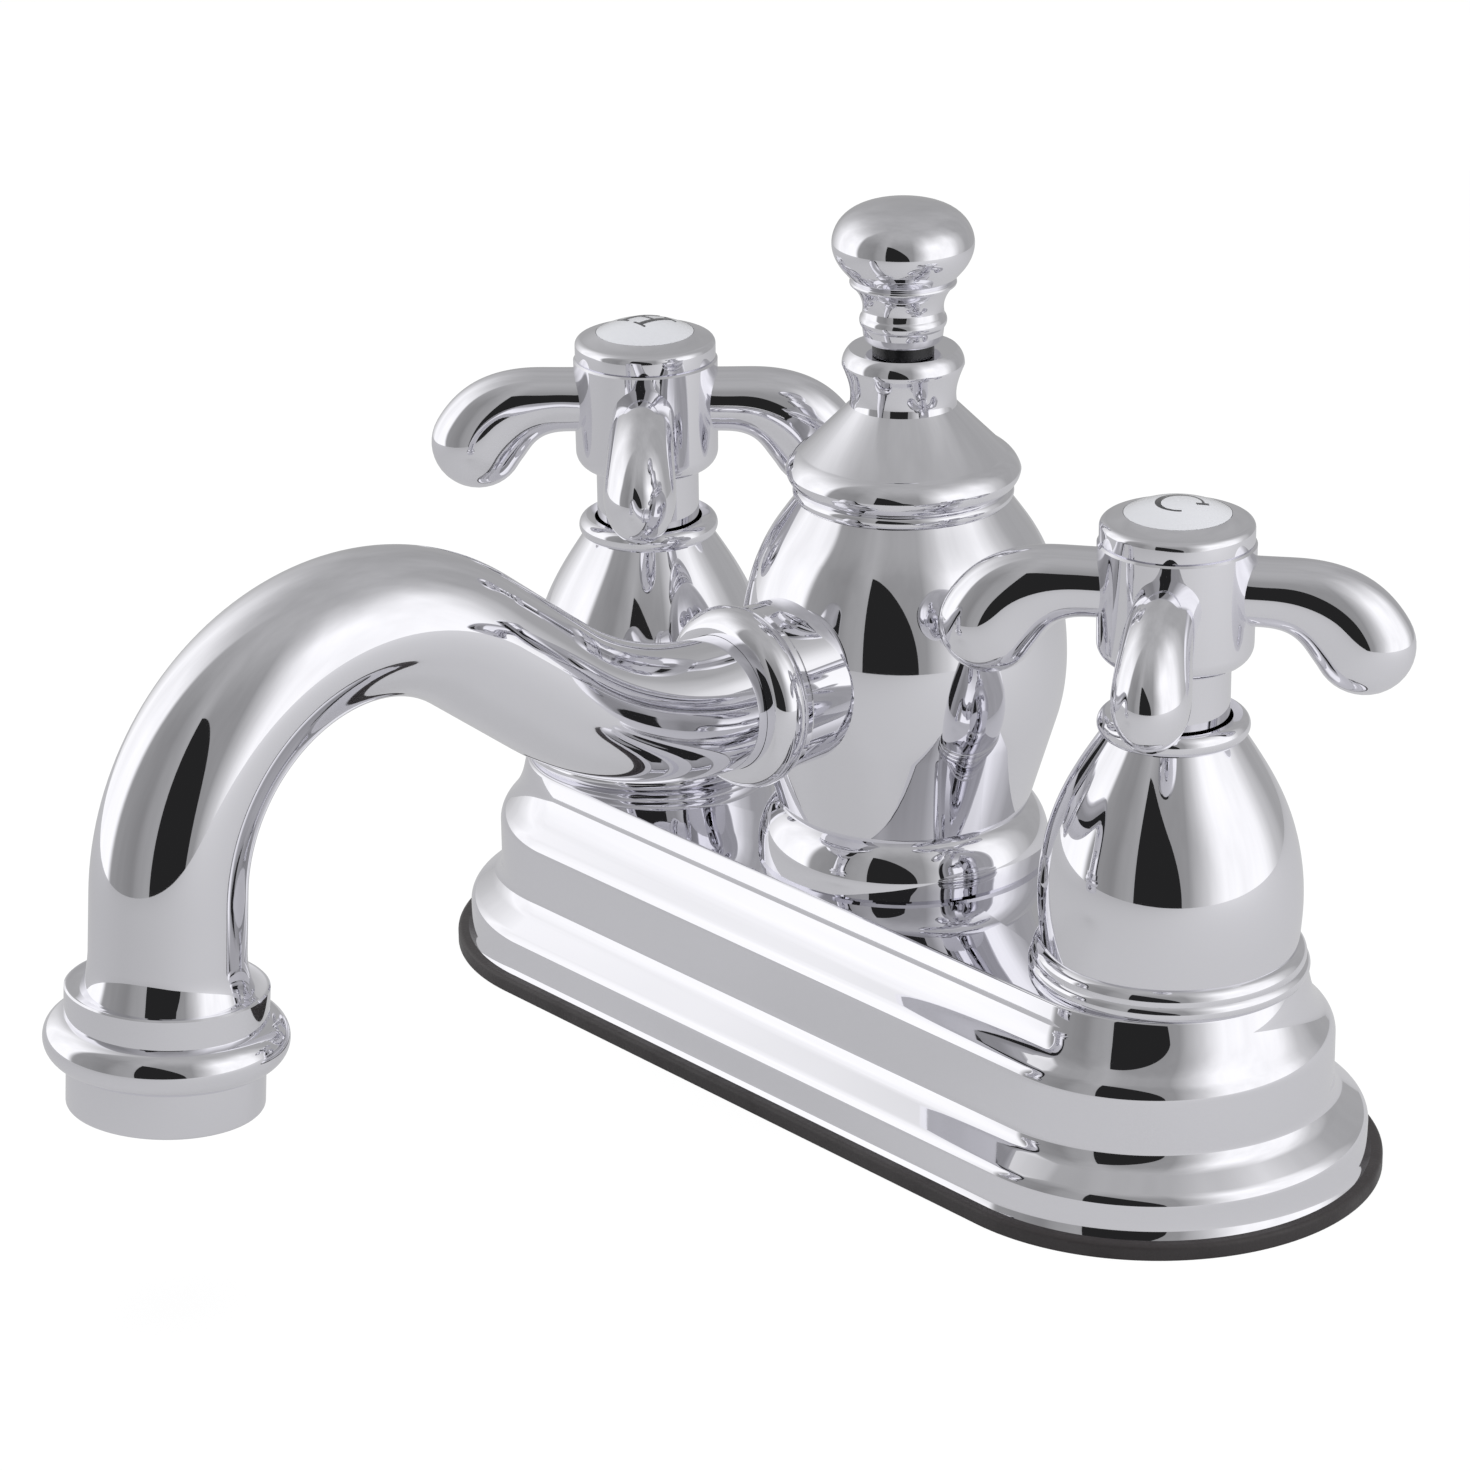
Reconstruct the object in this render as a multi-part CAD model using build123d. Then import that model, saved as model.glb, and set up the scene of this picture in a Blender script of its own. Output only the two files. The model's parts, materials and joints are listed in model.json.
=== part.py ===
from build123d import *
import math
import os

# Centerset bathroom faucet with two cross handles, a goose-neck spout and a lift rod.
# Frame: +Z up, z = 0 at the sink deck, X along the deck plate with the cold side at +X,
# the spout points at -Y. The origin lies midway between the two handles.

# Spacing on the deck
handle_centres = 101.6
body_set_back = 1.1
hot_rest_angle = 47.8
cold_rest_angle = 37.6

# Deck gasket
gasket_thick = 2.0
gasket_rim = 1.5
gasket_edge_round = 0.6
shank_hole_slack = 0.4
rod_slot_length = 16.0
rod_slot_width = 9.0

# Deck plate, a stepped cover with round ends
plate_end_inset = 3.2
plate_end_centres = handle_centres - 2 * plate_end_inset
plate_top = 27.5
plate_top_r = 20.6
upper_step = 3.0
upper_tier_r = plate_top_r + upper_step
lower_step = 4.5
lower_tier_r = upper_tier_r + lower_step
plate_foot_flare = 0.5
plate_foot_height = 1.0
lower_wall_top = 5.8
lower_round_r = 3.0
lower_ledge_angle = 60.0
upper_wall_top = 17.0
upper_round_r = 5.0
upper_ledge_angle = 55.0
plate_edge_round = 0.5
lower_cove_r = 2.0
upper_cove_r = 1.8
plate_wall = 2.0
plate_hole_slack = 0.4

# Waterway casting
shank_r = 10.4
shank_drop = 45.0
shank_chamfer = 1.0
inlet_thread_r = 10.2
inlet_thread_length = 13.5
inlet_r = 6.5
tower_r = 13.5
tower_neck_r = 11.4
tower_rise = 12.5
tower_top = plate_top + tower_rise
seat_height = 7.0
seat_web = 3.0
seat_port_r = 4.2
cavity_r = 9.2
cartridge_thread_r = 10.0
cartridge_thread_length = 12.0
crossway_r = 7.5
crossway_bore_r = 4.5
crossway_height = 15.0
boss_r = 13.0
nipple_r = 9.4
nipple_rise = 10.0
nipple_top = plate_top + nipple_rise
riser_bore_r = 7.6
boss_floor = 8.0

# Mounting nuts and washers under the deck
deck_thick = 20.0
washer_r = 17.0
washer_thick = 1.8
nut_across_flats = 30.0
nut_height = 8.0
nut_collar_r = 13.5
nut_collar_height = 2.0

# Bells over the valves
bell_widest_r = 16.7
bell_widest_rise = 9.3
bell_widest_height = plate_top + bell_widest_rise
bell_foot_r = 17.8
bell_foot_height = 3.9
bell_bead_depth = 0.5
bell_bead_shoulder = 0.45
bell_waist_r = 16.3
bell_shoulder_r = 14.2
bell_shoulder_rise = 13.2
bell_shoulder_height = bell_widest_height + bell_shoulder_rise
bell_neck_r = 8.9
bell_neck_rise = 9.3
bell_neck_height = bell_shoulder_height + bell_neck_rise
bell_ring_r = 9.55
bell_ring_rise = 1.4
bell_ring_height = bell_neck_height + bell_ring_rise
bell_lip_rise = 1.3
bell_top = bell_ring_height + bell_lip_rise
bell_lip_depth = 1.0
bell_lip_edge = 0.3
bell_wall = 1.8
bell_opening_slack = 0.4
bell_thread_height = 7.0

# Ceramic disc cartridges
seal_height = 3.0
seal_wall = 2.4
disc_r = 7.2
disc_thick = 3.0
disc_port_inner_r = 2.0
disc_port_outer_r = 6.0
disc_port_angle = 80.0
disc_gap = 0.02
cartridge_bore_slack = 0.1
cartridge_gallery = 0.3
window_width = 5.0
window_height = 6.0
cartridge_hex = 22.0
cartridge_hex_height = 3.5
cartridge_neck_r = 6.6
cartridge_below_bell = 5.0
cartridge_top = bell_top - cartridge_below_bell
spindle_r = 4.0
running_fit = 0.05
spindle_foot_width = 6.0
spindle_foot_height = 3.5
spindle_square = 5.6
spindle_square_length = 19.0
spindle_top = cartridge_top + spindle_square_length
o_ring_wire_r = 0.9
o_ring_depth = 6.0
o_ring_height = cartridge_top - o_ring_depth

# Cross handles
hub_r = 9.85
hub_low_r = 9.75
stem_show = 7.0
hub_under = bell_top + stem_show
hub_height = 15.5
hub_top = hub_under + hub_height
hub_corner_r = 2.4
stem_r = 7.0
stem_entry = 3.5
stem_low = bell_top - stem_entry
arm_depth = 6.05
arm_height = hub_top - arm_depth
arm_start = 12.75
arm_bend_r = 12.15
arm_bend_angle = 59.7
arm_root_oval = (4.2, 4.4)
arm_tip_oval = (4.85, 6.35)
arm_ovals = ((0.0, arm_root_oval), (0.35, (4.4, 5.4)), (0.7, (4.65, 6.35)), (1.0, arm_tip_oval))
arm_count = 4
socket_slack = 0.05
screw_web = 1.5
screw_head_r = 3.6
screw_head_height = 2.6
screw_r = 2.0
screw_length = 9.0
screw_hex = 2.5
head_pocket_r = 4.4

# Index caps and porcelain buttons on the handles
cap_spigot_r = 8.0
cap_spigot_length = 3.0
cap_r = 9.6
cap_shoulder_height = 1.9
cap_rim_r = 8.6
cap_rim_height = 2.8
cap_shoulder_bulge = 0.2
button_r = 6.64
button_edge_height = 3.6
button_thick = 2.2
button_dome_r = 17.5
button_slack = 0.06
seam_chamfer = 0.25

# Centre body, a turned urn
body_foot_r = 19.4
body_foot_edge = 0.5
body_foot_side = 1.3
body_cove_out = 0.7
body_cove_up = 1.1
body_waist_r = 16.6
body_foot_height = 7.5
body_waist_height = plate_top + body_foot_height
body_cone_r = 20.4
body_cone_rise = 12.5
body_cone_height = body_waist_height + body_cone_rise
body_widest_r = 21.4
body_belly_rise = 10.3
body_widest_height = body_cone_height + body_belly_rise
body_shoulder_r = 17.4
body_shoulder_rise = 14.4
body_shoulder_height = body_widest_height + body_shoulder_rise
body_thread_r = 11.0
body_neck_wall = 2.9
body_neck_r = body_thread_r + body_neck_wall
body_neck_rise = 5.0
body_top = body_shoulder_height + body_neck_rise
body_wall = 3.0
body_thread_length = 6.0
body_seal_thick = 1.0
body_floor_web = 2.0

# Cap on the centre body
cap_seal_thick = 0.5
bead_step = 0.5
bead_r = body_neck_r + bead_step
bead_height = 1.2
bead_depth = 0.45
cap_base = body_top + cap_seal_thick
pillow_step = 0.9
pillow_r = bead_r + pillow_step
pillow_low_rise = 2.1
pillow_height = cap_base + bead_height + pillow_low_rise
pillow_low_bulge = 0.35
pillow_high_bulge = 0.6
pillow_top_r = 13.2
pillow_high_rise = 2.5
pillow_top_height = pillow_height + pillow_high_rise
cone_top_r = 6.95
cap_cone_rise = 6.3
cone_top_height = pillow_top_height + cap_cone_rise
neck_r = 6.84
cap_neck_rise = 1.2
neck_height = cone_top_height + cap_neck_rise
flange_r = 7.94
flange_rise = 4.2
flange_height = neck_height + flange_rise
flange_round = 0.2
flange_top_r = 7.0
flange_lip_rise = 2.1
flange_top = flange_height + flange_lip_rise
bush_length = 9.3
cap_bore_floor = flange_top - bush_length
cap_web = 4.0
sleeve_top = cap_bore_floor - cap_web
sleeve_socket = 4.0
cap_cavity_top = sleeve_top - sleeve_socket
cap_cavity_r = 8.6

# Lift rod, its sleeve, bush and knob
rod_r = 2.4
rod_drop = 85.0
sleeve_r = 3.9
sleeve_bore_r = 3.1
bush_r = 3.6
bush_collar_r = 4.0
bush_collar_height = 0.95
rest_gap = 0.05
knob_socket_depth = 8.0
knob_foot = ((4.8, 0.0), (5.1, 0.4), (5.3, 1.9))
knob_bead = ((5.3, 1.9), (5.65, 2.75), (5.32, 3.6))
knob_neck = ((5.32, 3.6), (5.22, 4.5), (5.97, 6.7), (6.6, 7.6))
knob_crown = ((6.6, 8.2), (8.26, 10.2), (9.16, 13.0), (8.11, 15.8), (0.0, 18.3))
knob_crown_start = (0.8, 0, 1)
thread_slack = 0.02

# Spout and its joint on the body
joint_below_widest = 1.2
joint_height = body_widest_height - joint_below_widest
port_face = 15.5
port_bore_r = 6.4
port_thread_r = 8.0
port_boss_r = 13.6
coupling_r = 10.85
coupling_recess_slack = 0.15
coupling_face = 25.5
coupling_spigot_r = 10.0
coupling_spigot_length = 3.6
nut_ring_r = 12.0
nut_ring_middle = 1.9
nut_ring_depth = 0.9
nut_band_r = 11.2
nut_band_width = 1.0
nut_edge = 0.3
nut_lip = 0.9
nut_lip_slack = 0.07
tube_root_r = 8.8
tube_middle_r = 9.15
tube_end_r = 9.45
tube_wall = 1.2
tube_flange_r = 9.9
tube_flange_thick = 1.4
spout_lead = 0.4
spout_rise_r = 47.6
spout_rise_angle = 37.5
spout_slope_length = 15.1
spout_arch_r = 28.3
spout_outlet_tilt = 4.5
spout_leg = 15.4
spout_seal_wire_r = 0.7

# Nozzle and aerator, measured along the outlet's own axis from the tube's lower end
nozzle_socket_depth = 3.85
collar_r = 12.2
collar_length = 3.75
collar_rim_width = 1.3
collar_dish = 0.5
collar_edge = 0.2
torus_r = 14.7
torus_half_width = 2.85
mouth_r = 11.9
mouth_edge = 0.5
mouth_length = 5.8
mouth_lip = 1.0
mouth_lip_r = 8.6
aerator_thread_r = 10.6
aerator_washer_thick = 1.2
aerator_washer_inner_r = 7.6
nozzle_web = 0.8
insert_r = 9.4
insert_plate = 1.4
insert_wall = 1.0
insert_hole_r = 0.75
insert_ring_r = 2.7
insert_rings = 3


def at(r, z):
    """A point of a turned outline: radius r at height z."""
    return (r, 0, z)


def turned(*edges):
    """A solid of revolution about Z from the edges of its closed outline."""
    return revolve(make_face(Curve() + list(edges)), axis=Axis.Z, revolution_arc=360)


def turned_path(*points):
    """A solid of revolution about Z from the corners of its closed outline."""
    return turned(Polyline(*[at(*point) for point in points], close=True))


def rod(r, low, high):
    """A plain cylinder about Z between two heights."""
    return Pos(0, 0, low) * Cylinder(r, high - low, align=(Align.CENTER, Align.CENTER, Align.MIN))


def ring(outer_r, inner_r, low, high):
    """A plain ring about Z between two heights."""
    return rod(outer_r, low, high) - rod(inner_r, low, high)


def prism(across_flats, low, high):
    """A hexagonal prism about Z between two heights."""
    outline = RegularPolygon(across_flats / 2, 6, major_radius=False)
    return Pos(0, 0, low) * extrude(outline, high - low)


def square_bar(side, low, high):
    """A square bar about Z between two heights."""
    return Pos(0, 0, low) * Box(side, side, high - low, align=(Align.CENTER, Align.CENTER, Align.MIN))


def stadium(end_r, low, high):
    """A plate with round ends on the deck plate's two end centres."""
    outline = SlotCenterToCenter(plate_end_centres, 2 * end_r)
    return Pos(0, 0, low) * extrude(outline, high - low)


def on_body(solid):
    """Moves a solid from the origin to the axis of the centre body."""
    return Pos(0, body_set_back, 0) * solid


def on_valve(solid, side):
    """Moves a solid from the origin to the axis of the hot (-1) or cold (+1) valve."""
    return Pos(side * handle_centres / 2, 0, 0) * solid


def spout_plane():
    """The upright plane of the spout: x runs towards the user and y runs up."""
    return Plane(origin=(0, 0, 0), x_dir=(0, -1, 0), z_dir=(-1, 0, 0))


def on_joint(solid):
    """Lays a solid turned about Z on the spout's joint axis, its z running towards the user."""
    joint = Plane(origin=(0, body_set_back, joint_height), x_dir=(1, 0, 0), z_dir=(0, -1, 0))
    return joint.location * solid


# Deck plate and gasket

def plate_outline(inset):
    """The half section of the stepped cover, moved inwards by a wall."""
    low = gasket_thick
    lower_r = lower_tier_r - inset
    upper_r = upper_tier_r - inset
    top_r = plate_top_r - inset
    top = plate_top - inset
    lower_round = lower_round_r - inset / 2
    upper_round = upper_round_r - inset / 2
    lower_turn = math.radians(lower_ledge_angle)
    upper_turn = math.radians(upper_ledge_angle)
    lower_cove = lower_cove_r + inset / 4
    upper_cove = upper_cove_r + inset / 4
    lower_wall = Line(at(lower_r, low + plate_foot_height), at(lower_r, lower_wall_top))
    lower_arc_end = at(
        lower_r - lower_round * (1 - math.cos(lower_turn)),
        lower_wall_top + lower_round * math.sin(lower_turn),
    )
    lower_arc = TangentArc(at(lower_r, lower_wall_top), lower_arc_end, tangent=(0, 0, 1))
    cove_start_r = upper_r + lower_cove * (1 - math.cos(lower_turn))
    ledge_run = (lower_arc_end[0] - cove_start_r) / math.sin(lower_turn)
    ledge_end = at(cove_start_r, lower_arc_end[2] + ledge_run * math.cos(lower_turn))
    ledge = Line(lower_arc_end, ledge_end)
    cove_top = ledge_end[2] + lower_cove * math.sin(lower_turn)
    lower_heading = (-math.sin(lower_turn), 0, math.cos(lower_turn))
    cove = TangentArc(ledge_end, at(upper_r, cove_top), tangent=lower_heading)
    upper_wall = Line(at(upper_r, cove_top), at(upper_r, upper_wall_top))
    upper_arc_end = at(
        upper_r - upper_round * (1 - math.cos(upper_turn)),
        upper_wall_top + upper_round * math.sin(upper_turn),
    )
    upper_arc = TangentArc(at(upper_r, upper_wall_top), upper_arc_end, tangent=(0, 0, 1))
    high_cove_r = top_r + upper_cove * (1 - math.cos(upper_turn))
    high_run = (upper_arc_end[0] - high_cove_r) / math.sin(upper_turn)
    high_ledge_end = at(high_cove_r, upper_arc_end[2] + high_run * math.cos(upper_turn))
    high_ledge = Line(upper_arc_end, high_ledge_end)
    high_cove_top = high_ledge_end[2] + upper_cove * math.sin(upper_turn)
    upper_heading = (-math.sin(upper_turn), 0, math.cos(upper_turn))
    high_cove = TangentArc(high_ledge_end, at(top_r, high_cove_top), tangent=upper_heading)
    rim = Line(at(top_r, high_cove_top), at(top_r, top - plate_edge_round))
    edge = TangentArc(
        at(top_r, top - plate_edge_round), at(top_r - plate_edge_round, top), tangent=(0, 0, 1)
    )
    lid = Line(at(top_r - plate_edge_round, top), at(0, top))
    axis = Line(at(0, top), at(0, low))
    foot = Line(at(0, low), at(lower_r + plate_foot_flare, low))
    flare = Line(at(lower_r + plate_foot_flare, low), at(lower_r, low + plate_foot_height))
    lower = [lower_wall, lower_arc, ledge, cove]
    upper = [upper_wall, upper_arc, high_ledge, high_cove]
    return lower + upper + [rim, edge, lid, axis, foot, flare]


def plate_form(inset):
    """The stepped cover as a full block: a straight run between two turned round ends."""
    outline = plate_outline(inset)
    half = make_face(Curve() + outline)
    sides = [edge for edge in outline if abs(edge.center().X) > plate_edge_round / 2]
    section = make_face(Curve() + sides + [mirror(edge, about=Plane.YZ) for edge in sides])
    run = extrude(Rot(0, 0, 90) * section, plate_end_centres / 2, dir=(1, 0, 0), both=True)
    end = revolve(Rot(0, 0, -90) * half, axis=Axis.Z, revolution_arc=180)
    other_end = Rot(0, 0, 180) * end
    return run + Pos(plate_end_centres / 2, 0, 0) * end + Pos(-plate_end_centres / 2, 0, 0) * other_end


def deck_plate():
    """The hollow cover with a hole for each valve tower and one for the body's nipple."""
    shell = plate_form(0) - plate_form(plate_wall)
    shell -= stadium(lower_tier_r - plate_wall + plate_foot_flare, 0, gasket_thick + plate_foot_height)
    for side in (-1, 1):
        shell -= on_valve(rod(tower_neck_r + plate_hole_slack, gasket_thick, plate_top + 1), side)
    shell -= on_body(rod(nipple_r + plate_hole_slack, gasket_thick, plate_top + 1))
    return shell


def deck_gasket():
    """The soft sheet under the cover, a little wider than it, with holes for what goes below."""
    sheet = stadium(lower_tier_r + plate_foot_flare + gasket_rim, 0, gasket_thick)
    sheet = fillet(sheet.edges().group_by(Axis.Z)[-1], gasket_edge_round)
    for side in (-1, 1):
        sheet -= on_valve(rod(shank_r + shank_hole_slack, -1, gasket_thick + 1), side)
    slot = extrude(SlotOverall(rod_slot_length, rod_slot_width), gasket_thick)
    return sheet - on_body(slot)


# Waterway casting and what clamps it to the deck

def valve_tower(side):
    """One valve tower with its threaded shank below the deck."""
    tower = rod(tower_r, gasket_thick, plate_top - plate_wall)
    tower += rod(tower_neck_r, gasket_thick, tower_top)
    shank = rod(shank_r, inlet_top(), gasket_thick)
    inlet = rod(inlet_thread_r, -shank_drop, inlet_top())
    inlet = chamfer(inlet.edges().group_by(Axis.Z)[0], shank_chamfer)
    return on_valve(tower + shank + inlet, side)


def inlet_top():
    """Height where the shank's clamping thread ends and its supply thread begins."""
    return shank_chamfer + inlet_thread_length - shank_drop


def waterway_casting():
    """The brass underbody: two valve towers joined to the centre boss by one crossway."""
    casting = valve_tower(-1) + valve_tower(1)
    casting += Pos(0, 0, crossway_height) * Rot(0, 90, 0) * Cylinder(crossway_r, handle_centres)
    casting += on_body(rod(boss_r, gasket_thick, plate_top - plate_wall))
    casting += on_body(rod(nipple_r, gasket_thick, nipple_top))
    cavity = rod(inlet_r, -shank_drop, seat_height - seat_web)
    cavity += rod(seat_port_r, -shank_drop, seat_height)
    cavity += rod(cavity_r, seat_height, tower_top)
    cavity += rod(cartridge_thread_r, tower_top - cartridge_thread_length, tower_top)
    for side in (-1, 1):
        casting -= on_valve(cavity, side)
    casting -= Pos(0, 0, crossway_height) * Rot(0, 90, 0) * Cylinder(crossway_bore_r, handle_centres)
    casting -= on_body(rod(riser_bore_r, boss_floor, nipple_top))
    casting -= on_body(rod(sleeve_r + thread_slack, 0, nipple_top))
    return casting


def mounting_washers():
    """A flat washer on each shank, against the underside of the deck."""
    washer = ring(washer_r, shank_r + shank_hole_slack / 2, -deck_thick - washer_thick, -deck_thick)
    return on_valve(washer, -1) + on_valve(washer, 1)


def mounting_nuts():
    """A hexagon locknut with a round collar on each shank, under its washer."""
    top = -deck_thick - washer_thick
    nut = prism(nut_across_flats, top - nut_height, top - nut_collar_height)
    nut += rod(nut_collar_r, top - nut_height, top)
    nut -= rod(shank_r + running_fit, top - nut_height, top)
    return on_valve(nut, -1) + on_valve(nut, 1)


# Bells

def bell(side):
    """The bell over a valve: two beads at the foot, a full belly and a rolled ring on top."""
    foot = plate_top
    bead = bell_foot_height / 2
    groove_r = bell_foot_r - bell_bead_depth
    lower_bead = ThreePointArc(
        at(groove_r, foot), at(bell_foot_r, foot + bead / 2), at(groove_r, foot + bead)
    )
    upper_bead = ThreePointArc(
        at(groove_r, foot + bead),
        at(groove_r, foot + bead + bell_bead_shoulder * bead),
        at(bell_waist_r, foot + bell_foot_height),
    )
    belly = Spline(
        at(bell_waist_r, foot + bell_foot_height),
        at(bell_widest_r, bell_widest_height),
        at(bell_shoulder_r, bell_shoulder_height),
        at(bell_neck_r, bell_neck_height),
    )
    lip_r = bell_ring_r - bell_lip_depth
    roll = ThreePointArc(
        at(bell_neck_r, bell_neck_height), at(bell_ring_r, bell_ring_height), at(lip_r, bell_top)
    )
    opening_r = stem_r + bell_opening_slack
    grip_r = tower_neck_r + thread_slack
    inner = Polyline(
        at(lip_r, bell_top),
        at(opening_r, bell_top - bell_lip_edge),
        at(opening_r, bell_neck_height - bell_lip_edge),
        at(bell_shoulder_r - bell_wall, bell_shoulder_height - bell_wall / 2),
        at(bell_widest_r - bell_wall, bell_widest_height + bell_wall),
        at(bell_widest_r - bell_wall, foot + bell_thread_height),
        at(grip_r, foot + bell_thread_height),
        at(grip_r, foot),
        at(groove_r, foot),
    )
    return on_valve(turned(lower_bead, upper_bead, belly, roll, inner), side)


# Cartridges

def cartridge_body(side):
    """The screwed-in cartridge: hexagon, thread, windowed barrel and long neck."""
    barrel_low = seat_height + seal_height / 2
    thread_low = tower_top - cartridge_thread_length
    body = rod(cavity_r - cartridge_gallery, barrel_low, thread_low)
    body += rod(cartridge_thread_r - thread_slack, thread_low, tower_top)
    body += prism(cartridge_hex, tower_top, tower_top + cartridge_hex_height)
    body += rod(cartridge_neck_r, tower_top, cartridge_top)
    bore_top = foot_top() + running_fit
    body -= rod(disc_r + cartridge_bore_slack, barrel_low, bore_top)
    body -= rod(spindle_r + running_fit, barrel_low, cartridge_top)
    window = Box(window_width, 4 * cavity_r, window_height)
    return on_valve(body - Pos(0, 0, crossway_height) * window, side)


def disc_low():
    """Height of the fixed disc's underside."""
    return seat_height + seal_height


def turning_low():
    """Height of the turning disc's underside."""
    return disc_low() + disc_thick + disc_gap


def foot_top():
    """Height of the spindle foot's upper face."""
    return turning_low() + disc_thick + spindle_foot_height


def ported_disc(low, turn):
    """A ceramic disc with two opposite sector ports."""
    reach = 2 * disc_r
    half_width = reach * math.tan(math.radians(disc_port_angle / 2))
    sector = make_face(Polyline((0, 0), (reach, half_width), (reach, -half_width), close=True))
    high = low + disc_thick
    port = Pos(0, 0, low) * extrude(sector, disc_thick)
    port &= ring(disc_port_outer_r, disc_port_inner_r, low, high)
    disc = rod(disc_r, low, high)
    for angle in (turn, turn + 180):
        disc -= Rot(0, 0, angle) * port
    return disc


def fixed_disc(side):
    """The lower disc, which stays with the cartridge."""
    return on_valve(ported_disc(disc_low(), 0), side)


def turning_disc(side):
    """The upper disc, a quarter turn off the lower one when the valve is shut."""
    return on_valve(ported_disc(turning_low(), 90), side)


def seat_seal(side):
    """The rubber ring between the cartridge and its seat."""
    return on_valve(ring(disc_r, disc_r - seal_wall, seat_height, seat_height + seal_height), side)


def spindle(side, turn):
    """The spindle: a bar foot on the turning disc, a grooved shaft and a square on top."""
    foot_low = turning_low() + disc_thick
    bar = Box(2 * disc_r, spindle_foot_width, 2 * spindle_foot_height)
    foot = rod(disc_r, foot_low, foot_top()) & Pos(0, 0, foot_low) * bar
    shaft = foot + rod(spindle_r, foot_low, cartridge_top) - spindle_ring()
    shaft += Rot(0, 0, turn) * square_bar(spindle_square, cartridge_top, spindle_top)
    shaft -= rod(screw_r + thread_slack, spindle_top + screw_web - screw_length - 1, spindle_top)
    return on_valve(shaft, side)


def spindle_ring():
    """The O-ring round the spindle, standing a hair proud of it."""
    return Pos(0, 0, o_ring_height) * Torus(spindle_r + thread_slack - o_ring_wire_r, o_ring_wire_r)


def spindle_seal(side):
    """The O-ring in the spindle's groove."""
    return on_valve(spindle_ring(), side)


# Cross handles

def arm_tip():
    """The arm's round end, as wide and as deep as its last oval."""
    width_r, depth_r = arm_tip_oval
    half = Ellipse(depth_r, width_r) & Pos(depth_r, 0) * Rectangle(2 * depth_r, 2 * width_r)
    return revolve(half, axis=Axis.Y, revolution_arc=360)


def handle_arm():
    """One drooping arm of oval section, which grows deeper than wide towards its round tip."""
    sections = []
    for share, (width_r, depth_r) in arm_ovals:
        turn = math.radians(arm_bend_angle * share)
        reach = arm_start + arm_bend_r * math.sin(turn)
        height = arm_height - arm_bend_r * (1 - math.cos(turn))
        heading = (math.cos(turn), 0, -math.sin(turn))
        across = Plane(origin=(reach, 0, height), x_dir=(0, 1, 0), z_dir=heading)
        sections.append(across.location * Ellipse(width_r, depth_r))
    start = Plane(origin=(0, 0, arm_height), x_dir=(0, 1, 0), z_dir=(1, 0, 0))
    root = start.location * extrude(Ellipse(*arm_root_oval), arm_start)
    return root + loft(sections) + Pos(*sections[-1].center()) * arm_tip()


def handle(side, turn):
    """The cross handle: hub, four arms and a narrower stem that enters the bell."""
    barrel = Polyline(
        at(0, hub_top),
        at(hub_r - seam_chamfer, hub_top),
        at(hub_r, hub_top - seam_chamfer),
        at(hub_low_r, hub_under + hub_corner_r),
    )
    corner = TangentArc(
        at(hub_low_r, hub_under + hub_corner_r),
        at(hub_low_r - hub_corner_r, hub_under),
        tangent=(0, 0, -1),
    )
    stem = Polyline(
        at(hub_low_r - hub_corner_r, hub_under),
        at(stem_r, hub_under),
        at(stem_r, stem_low),
        at(0, stem_low),
        at(0, hub_top),
    )
    body = turned(barrel, corner, stem)
    for index in range(arm_count):
        body += Rot(0, 0, index * 360 / arm_count) * handle_arm()
    body -= square_bar(spindle_square + 2 * socket_slack, stem_low, spindle_top)
    body -= rod(screw_r + 2 * socket_slack, stem_low, hub_top)
    body -= rod(head_pocket_r, spindle_top + screw_web, hub_top)
    body -= rod(cap_spigot_r + thread_slack, hub_top - cap_spigot_length, hub_top + 1)
    return on_valve(Rot(0, 0, turn) * body, side)


def handle_screw(side):
    """The socket screw that holds the handle on its spindle."""
    seat = spindle_top + screw_web
    screw = rod(screw_head_r, seat, seat + screw_head_height) + rod(screw_r, seat - screw_length, seat)
    screw -= prism(screw_hex, seat + screw_head_height / 2, seat + screw_head_height)
    return on_valve(screw, side)


def index_cap(side):
    """The chrome cap ring in the hub's top, with a recess for the button."""
    base = hub_top
    lower = Polyline(
        at(cap_spigot_r, base - cap_spigot_length),
        at(cap_spigot_r, base),
        at(cap_r - seam_chamfer, base),
        at(cap_r, base + seam_chamfer),
        at(cap_r, base + cap_shoulder_height),
    )
    middle_r = (cap_r + cap_rim_r) / 2 + cap_shoulder_bulge
    middle_height = (cap_shoulder_height + cap_rim_height) / 2 + cap_shoulder_bulge
    shoulder = ThreePointArc(
        at(cap_r, base + cap_shoulder_height),
        at(middle_r, base + middle_height),
        at(cap_rim_r, base + cap_rim_height),
    )
    recess_r = button_r + button_slack
    inside = Polyline(
        at(cap_rim_r, base + cap_rim_height),
        at(recess_r, base + button_edge_height),
        at(recess_r, base + button_edge_height - button_thick),
        at(head_pocket_r, base + button_edge_height - button_thick),
        at(head_pocket_r, base - cap_spigot_length),
        at(cap_spigot_r, base - cap_spigot_length),
    )
    return on_valve(turned(lower, shoulder, inside), side)


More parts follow.
